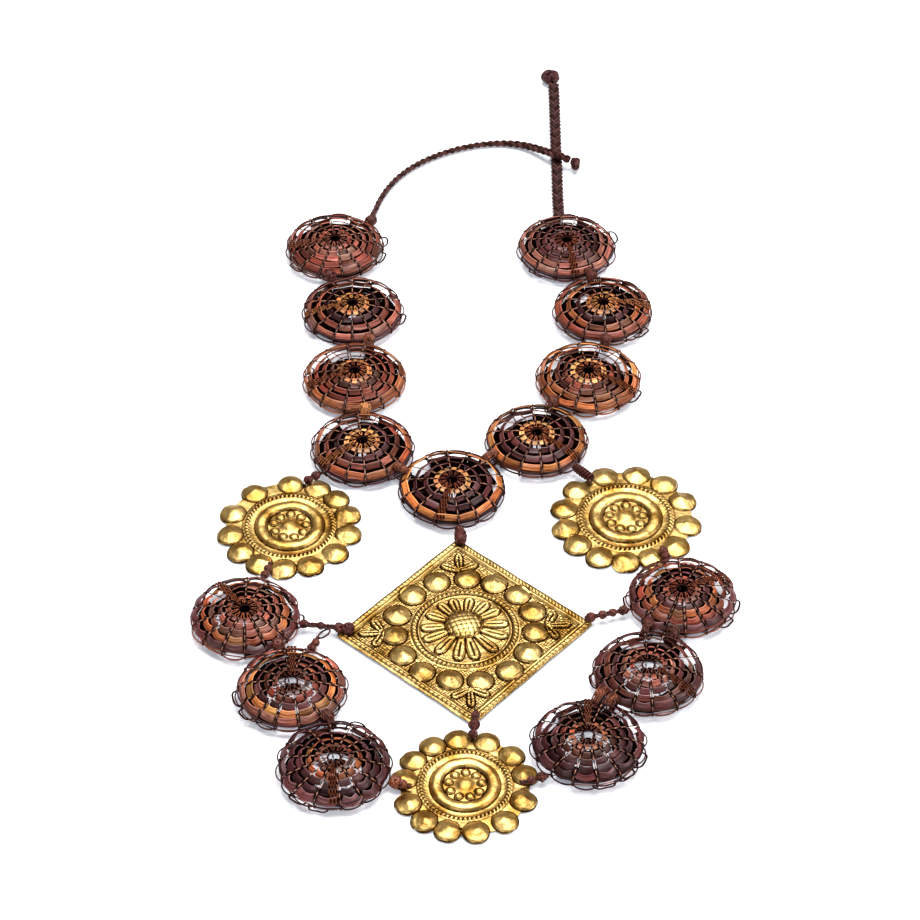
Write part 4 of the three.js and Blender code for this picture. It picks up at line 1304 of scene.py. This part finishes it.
@dataclass(frozen=True)
class Binding:
    """A tie of wound thread.

    Attributes:
        node: The frame's node that it stands for.
        code: Its colour.
        lumps: Its knots, each as its place along the tie and its width.
        rings: Its open loops, each as its place along the tie and its radius, to the right if positive.
        clasp: Whether it clasps two rims from above.
        coil: Whether it is wound evenly from end to end.
        coil_pitch: The distance from turn to turn, if it is.
        clasp_foot: How low the loops of a clasp reach.
    """

    node: str
    code: str = "5c2c26"
    lumps: tuple[tuple[float, float], ...] = ((0.3, 3.4), (0.72, 3.2))
    rings: tuple[tuple[float, float], ...] = ()
    clasp: bool = False
    coil: bool = False
    coil_pitch: float = 1.35
    clasp_foot: float = 1.7

    def wind_coil(self, skein: Skein, span: Span, base: np.ndarray) -> None:
        """Winds one cord evenly round the tie from end to end."""
        turns = int(round(span.length / self.coil_pitch))
        at = np.linspace(0, 1, turns * 14 + 1)
        wide = ((0.75 + 0.25 * np.sin(at * math.pi)) * 1.5)[:, None]
        angle = (at * turns * TAU)[:, None]
        coil = span.start + span.ahead * (0.04 + 0.92 * at)[:, None] * span.length
        coil = coil + span.side * wide * np.cos(angle) + span.top * wide * np.sin(angle)
        skein.sweep(coil, span.ahead, round_section(0.5), base)

    def lay_ring(self, skein: Skein, span: Span, place: float, radius: float, base: np.ndarray) -> None:
        """Lays one open loop beside the tie."""
        around = np.linspace(0, TAU, 18, endpoint=False)
        lean = unit(span.side * 0.8 + span.top * 0.6)
        middle = span.at(place, -math.inf) + lean * radius * 0.9
        middle[2] = max(middle[2], abs(radius) * 0.6 + 0.5)
        loop = middle + np.outer(np.cos(around), span.ahead) * abs(radius) * 0.8
        loop = loop + np.outer(np.sin(around), lean) * abs(radius)
        skein.sweep(loop, np.cross(span.ahead, lean), round_section(0.33), base * 0.7, closed=True)

    def lay_clasp(self, skein: Skein, span: Span, seed: int, base: np.ndarray) -> None:
        """Lays four loops that clasp two rims from above."""
        draw = np.random.default_rng(seed)
        middle = (span.start + span.end) / 2
        around = np.linspace(0, TAU, 24, endpoint=False)
        tall = (middle[2] + 1.0 - self.clasp_foot) / 2
        for offset in (-1.1, -0.3, 0.45, 1.2):
            loop = middle + span.side * offset
            loop = loop + np.outer(np.cos(around), span.ahead) * (span.length / 2 + 0.6)
            loop = loop + span.side * (0.5 * np.sin(around + seed + offset))[:, None]
            loop[:, 2] = self.clasp_foot + tall + tall * np.sin(around)
            shade = base * draw.uniform(0.5, 1.2)
            skein.sweep(loop, span.side, round_section(0.32, 5), shade, closed=True)

    def build(self, finish: bpy.types.Material, seed: int) -> bpy.types.Object:
        """Winds the tie and joins it to the frame."""
        skein, span, base = Skein(), Span.of(self.node), tint(self.code)
        inset = span.ahead * 0.3
        line = evenly(np.array([span.start + inset, span.end - inset]), 0.3)
        skein.plait(line, span.top, half_width=0.5, half_height=0.3, strand=0.44, period=4.2, strands=3,
                    colours=[base * light for light in (0.7, 1.1, 0.5)])
        if self.coil:
            self.wind_coil(skein, span, base)
        for place, wide in () if self.coil else self.lumps:
            size = np.array([wide, wide, wide * 0.9])
            skein.wound_ball(span.at(place, size[2] / 2 + 0.1), size, strand=0.55, loops=7, colour=base,
                             seed=seed + int(place * 50))
        for place, radius in self.rings:
            self.lay_ring(skein, span, place, radius, base)
        if self.clasp:
            self.lay_clasp(skein, span, seed, base)
        piece = skein.piece("binding_" + self.node.split("_", 1)[1], [finish, finish])
        return settle(piece, [self.node])


TAN, RED_BROWN, SADDLE = "aa7448", "64352a", "7c4630"
ONE = ((0.5, 5.0),)
# Each has its node, its colour and its lumps, and then what few of them have.
BINDINGS = (
    Binding("knot_left_1_2", lumps=ONE, clasp=True),
    Binding("knot_left_2_3", SADDLE, ONE, clasp=True),
    Binding("knot_left_3_4", TAN, ONE, clasp=True),
    Binding("knot_left_4_centre", SADDLE, ((0.3, 3.8), (0.7, 3.4)), clasp=True),
    Binding("knot_centre_right_4", SADDLE, ((0.3, 3.4), (0.7, 3.8)), clasp=True),
    Binding("knot_right_4_3", RED_BROWN, ONE, clasp=True),
    Binding("knot_right_3_2", RED_BROWN, ONE, clasp=True),
    Binding("knot_right_2_1", RED_BROWN, ((0.35, 4.4), (0.7, 4.0)), clasp=True),
    Binding("knot_outer_left_1_2", RED_BROWN, ((0.5, 4.8),), clasp=True),
    Binding("knot_outer_left_2_3", RED_BROWN, ((0.5, 4.8),), clasp=True),
    Binding("knot_outer_right_1_2", RED_BROWN, ONE, clasp=True),
    Binding("knot_outer_right_1_2_b", "5a3228", ONE, clasp=True),
    Binding("knot_outer_right_2_3", SADDLE, ((0.5, 4.8),), clasp=True),
    Binding("knot_outer_right_2_3_b", SADDLE, ((0.5, 4.4),), clasp=True),
    Binding("tie_left_rosette_top", lumps=((0.25, 3.8), (0.68, 3.8))),
    Binding("tie_right_rosette_coil", coil=True),
    Binding("tie_left_rosette_bottom", RED_BROWN, ((0.3, 3.6), (0.65, 3.2))),
    Binding("tie_right_rosette_bottom", RED_BROWN, ((0.3, 3.6), (0.65, 3.8))),
    Binding("tie_bottom_rosette_left", SADDLE, ((0.3, 5.2), (0.6, 3.6))),
    Binding("tie_bottom_rosette_right", RED_BROWN, ((0.4, 3.2), (0.75, 4.2))),
    Binding("tie_plate_top", lumps=((0.2, 5.2), (0.5, 4.6), (0.8, 3.6))),
    Binding("tie_plate_right", RED_BROWN, ((0.14, 4.0), (0.4, 3.6), (0.62, 3.4), (0.86, 4.0)),
            rings=((0.5, 1.7),)),
    Binding("tie_plate_left", lumps=((0.08, 3.6), (0.4, 3.2), (0.74, 4.2), (0.92, 5.0)),
            rings=((0.24, 2.3), (0.3, -2.0), (0.52, 2.3), (0.62, -2.0))),
    Binding("tie_plate_bottom", lumps=((0.12, 3.6), (0.45, 4.4), (0.8, 3.4))),
    Binding("tie_plate_left_loop", RED_BROWN, lumps=((0.2, 3.2), (0.6, 3.4)),
            rings=((0.45, -1.7), (1.1, 2.7))),
)


@dataclass
class NeckCords:
    """The two cords that close the loop round the neck, with the knots at their ends.

    Attributes:
        left_diameter: How thick the thin cord is; not used.
        right_width: How wide the thick flat cord is; not used.
        step: The distance between the points of a cord's line, about.
        left_route: The thin cord's way, from the middle of its root knot on.
        right_route: The thick cord's way, from the far side of its medallion's rim on.
    """

    left_diameter: float = 2.8
    right_width: float = 5.0
    step: float = 0.35
    left_route: tuple[tuple[float, float, float], ...] = (
        (0.3, 2.4, 0.1), (0.9, 5.6, -0.9), (1.6, 9.2, -1.75), (3.1, 14.6, -1.75), (5.0, 19.8, -1.75),
        (7.6, 25.2, -1.75), (10.8, 30.4, -1.75), (14.9, 35.4, -1.75), (19.8, 40.0, -1.75),
        (25.4, 44.0, -1.75), (31.6, 47.5, -1.75), (38.2, 50.2, -1.75), (44.8, 52.0, -1.75),
        (51.2, 52.8, -1.75), (57.2, 52.6, -1.7), (62.6, 51.0, -1.3), (67.2, 48.0, -0.4),
        (71.4, 44.2, 0.9), (75.2, 40.9, 1.85), (78.4, 39.0, 2.0), (81.2, 37.9, 1.2),
    )
    right_route: tuple[tuple[float, float, float], ...] = (
        (-2.6, 0.0, 3.1), (-2.6, 3.6, 2.7), (-2.6, 8.0, 2.1), (-2.7, 13.0, 1.75), (-2.7, 19.0, 1.7),
        (-2.7, 25.0, 1.7), (-2.7, 31.0, 1.7), (-2.7, 37.0, 1.7), (-2.8, 43.0, 1.7), (-2.8, 49.0, 1.7),
        (-2.8, 55.0, 1.7), (-2.8, 61.0, 1.7), (-2.8, 67.0, 1.7), (-2.8, 73.0, 1.7), (-2.8, 79.0, 1.7),
        (-2.8, 85.0, 1.7), (-2.9, 91.0, 1.75),
    )

    def line(self, base: np.ndarray, route: tuple[tuple[float, float, float], ...]) -> np.ndarray:
        """The line of a cord, from the point that its route is measured from."""
        return smooth_line(base + np.array(route), self.step)

    def knot(self, node: str, finish: bpy.types.Material, strand: float, loops: int, code: str,
             seed: int) -> bpy.types.Object:
        """Winds one end knot in the place of its node.

        Args:
            node: The frame's node that it stands for.
            finish: Its material.
            strand: The radius of the cord that it is wound from.
            loops: How many loops lie round it.
            code: Its colour.
            seed: Picks how the loops lie.

        Returns:
            The knot's piece.
        """
        skein = Skein()
        middle, size = box_of(node)
        skein.wound_ball(middle, size, strand, loops, tint(code), seed)
        return settle(skein.piece("wound_" + node, [finish, finish]), [node])

    def braid(self, name: str, node: str, colours: tuple[str, ...], line: np.ndarray,
              finish: bpy.types.Material, **plait: object) -> bpy.types.Object:
        """Braids one cord along its line and joins it to the frame.

        Args:
            name: The name of its piece.
            node: The frame's node that it stands for.
            colours: The colour of each of its strands.
            line: Its middle, point by point.
            finish: Its material.
            plait: What Skein.plait needs besides.

        Returns:
            The cord's piece.
        """
        skein = Skein()
        skein.plait(line, UP, strands=len(colours), colours=[tint(code) for code in colours], **plait)
        return settle(skein.piece(name, [finish, finish]), [node])

    def build(self, finish: bpy.types.Material) -> None:
        self.knot("knot_cord_root", finish, strand=0.75, loops=7, code="4e281e", seed=5)
        left_knot = self.knot("left_cord_knot", finish, strand=0.8, loops=7, code="4c2420", seed=8)
        right_knot = self.knot("right_cord_knot", finish, strand=1.05, loops=8, code="4a2422", seed=12)

        left = self.line(box_of("knot_cord_root")[0], self.left_route)
        left_length = float(run_of(left)[-1])
        fuller = ease(run_of(left) / left_length, 0.62, 0.86)
        piece = self.braid("braid_left", "left_cord", ("4e2822", "3a1c18", "5c3028"), left, finish,
                           half_width=0.5 + 0.62 * fuller, half_height=0.42 + 0.1 * fuller, strand=0.74,
                           period=8.4)

        shoulder = box_of("medallion_right_1")[0]
        rim = WEAVES["medallion_right_1"].share * MEDALLION_DIAMETER / 2 + CLEARANCE
        right = self.line(np.array([shoulder[0], shoulder[1] + rim, 0]), self.right_route)
        piece = self.braid("braid_right", "right_cord", ("4c2420", "381a17", "5a2e28", "40201c", "4a2824"),
                           right, finish, half_width=1.72, half_height=0.78, strand=0.78, period=12.5)


@dataclass(frozen=True)
class Studio:
    """The camera, the pale floor and the soft lights.

    Attributes:
        target: What the camera looks at, in millimetres.
        elevation: How far the camera looks down, in degrees.
        distance: How far it is from its target, in millimetres.
        focal_pixels: Its focal length, in pixels of the picture.
        picture: The picture's side, in pixels.
        sensor: The sensor's width, in millimetres.
        floor_size: The floor's side, in metres.
        floor_drop: How far the floor lies under the part, in metres.
        floor_glow: How much the floor glows.
        surround: How bright the surround is.
        lamps: Each lamp's name, place in metres, size in metres and power in watts.
    """

    target: tuple[float, float, float] = (-1.4, 23.9, 0.0)
    elevation: float = 43.3
    distance: float = 1268.0
    focal_pixels: float = 3370.0
    picture: int = 920
    sensor: float = 36.0
    floor_size: float = 6.0
    floor_drop: float = 0.0003
    floor_glow: float = 0.24
    surround: float = 0.15
    lamps: tuple[tuple[str, tuple[float, float, float], float, float], ...] = (
        ("overhead", (0.1, 0.35, 1.5), 1.3, 34.0), ("side", (1.4, -0.5, 0.8), 0.7, 9.0),
        ("front", (-0.6, -1.3, 0.9), 0.7, 4.0))

    def add_camera(self) -> None:
        """Adds the camera at the photograph's angle."""
        data = bpy.data.cameras.new("camera")
        data.sensor_width = self.sensor
        data.lens = self.focal_pixels / self.picture * self.sensor
        data.clip_start, data.clip_end = 0.05, 20
        camera = add_object("camera", data)
        lift = math.radians(self.elevation)
        back = np.array([0, -math.cos(lift), math.sin(lift)]) * self.distance
        camera.location = (np.array(self.target) + back) * MM
        camera.rotation_euler = (math.pi / 2 - lift, 0, 0)
        bpy.context.scene.camera = camera

    def add_floor(self) -> None:
        """Adds the pale floor."""
        bpy.ops.mesh.primitive_plane_add(size=self.floor_size, location=(0, 0, -self.floor_drop))
        floor = bpy.context.object
        floor.name = "floor"
        tree = NodeTree("pale_floor")
        place = tree.add("TexCoord", {}).outputs["Object"]
        shade = tree.blend(tree.noise(place, 3.0), rgba("f6f6f7"), rgba("fafafa"))
        floor.data.materials.append(tree.finish(
            Base_Color=shade, Roughness=0.9, Specular_IOR_Level=0.2, Emission_Color=rgba("e4ecff"),
            Emission_Strength=self.floor_glow))

    def add_lights(self) -> None:
        """Adds a wide soft light above, a side light and a dim surround."""
        for name, place, size, power in self.lamps:
            data = bpy.data.lights.new(name, "AREA")
            data.size = size
            data.energy = power
            lamp = add_object(name, data)
            lamp.location = place
            aim = -lamp.location.normalized()
            lamp.rotation_euler = aim.to_track_quat("-Z", "Y").to_euler()
        world = bpy.data.worlds.new("studio")
        world.use_nodes = True
        sky = world.node_tree.nodes["Background"].inputs
        sky["Color"].default_value = (1, 1, 1, 1)
        sky["Strength"].default_value = self.surround
        bpy.context.scene.world = world
        bpy.context.scene.view_settings.view_transform = "Standard"
        bpy.context.scene.view_settings.look = "Medium High Contrast"


def main() -> None:
    """Makes the whole scene around the frame."""
    logging.basicConfig(level=logging.INFO, format="%(name)s: %(message)s")
    studio = Studio()
    studio.add_camera()
    strip, thread = FibreStrip().make(), FibreThread().make()
    NeckCords().build(thread)
    for seed, (node, weave) in enumerate(WEAVES.items(), 100):
        Medallion(node, weave, seed).build([strip, thread])
    brass = BeatenBrass("beaten_brass").make()
    dull = BeatenBrass("dull_brass", "ccae74", "98743a", "2e1b05", 0.35).make()
    Rosette("rosette_left", "embossed_rosette_left", 21, diameter=54.0, lobes=(
        91, 64, 40.5, 16, -11, -39, -68, -94, -118, -142, -168, 162.5, 128)).build(brass)
    Rosette("rosette_right", "embossed_rosette_right", 22, diameter=56.4, lobes=(
        108, 78, 50, 22, -10, -40, -67.5, -92, -116.5, -142, -165, 168, 140.5)).build(brass)
    Rosette("rosette_bottom", "embossed_rosette_bottom", 23, diameter=51.2, pierced=(-95, 0.763), lobes=(
        122, 97, 69, 40, 13, -19, -50, -80, -106.5, -131, -157, 172, 147.5)).build(brass)
    SquarePlate("square_plate", "embossed_plate", 24, domes=(
        88, 65, 42, 20, -3, -27, -52, -77.5, -102, -126, -150, -173, 164, 138, 113)).build(dull)
    for seed, binding in enumerate(BINDINGS, 300):
        binding.build(thread, seed)
    studio.add_floor()
    studio.add_lights()


if __name__ == "__main__":
    main()
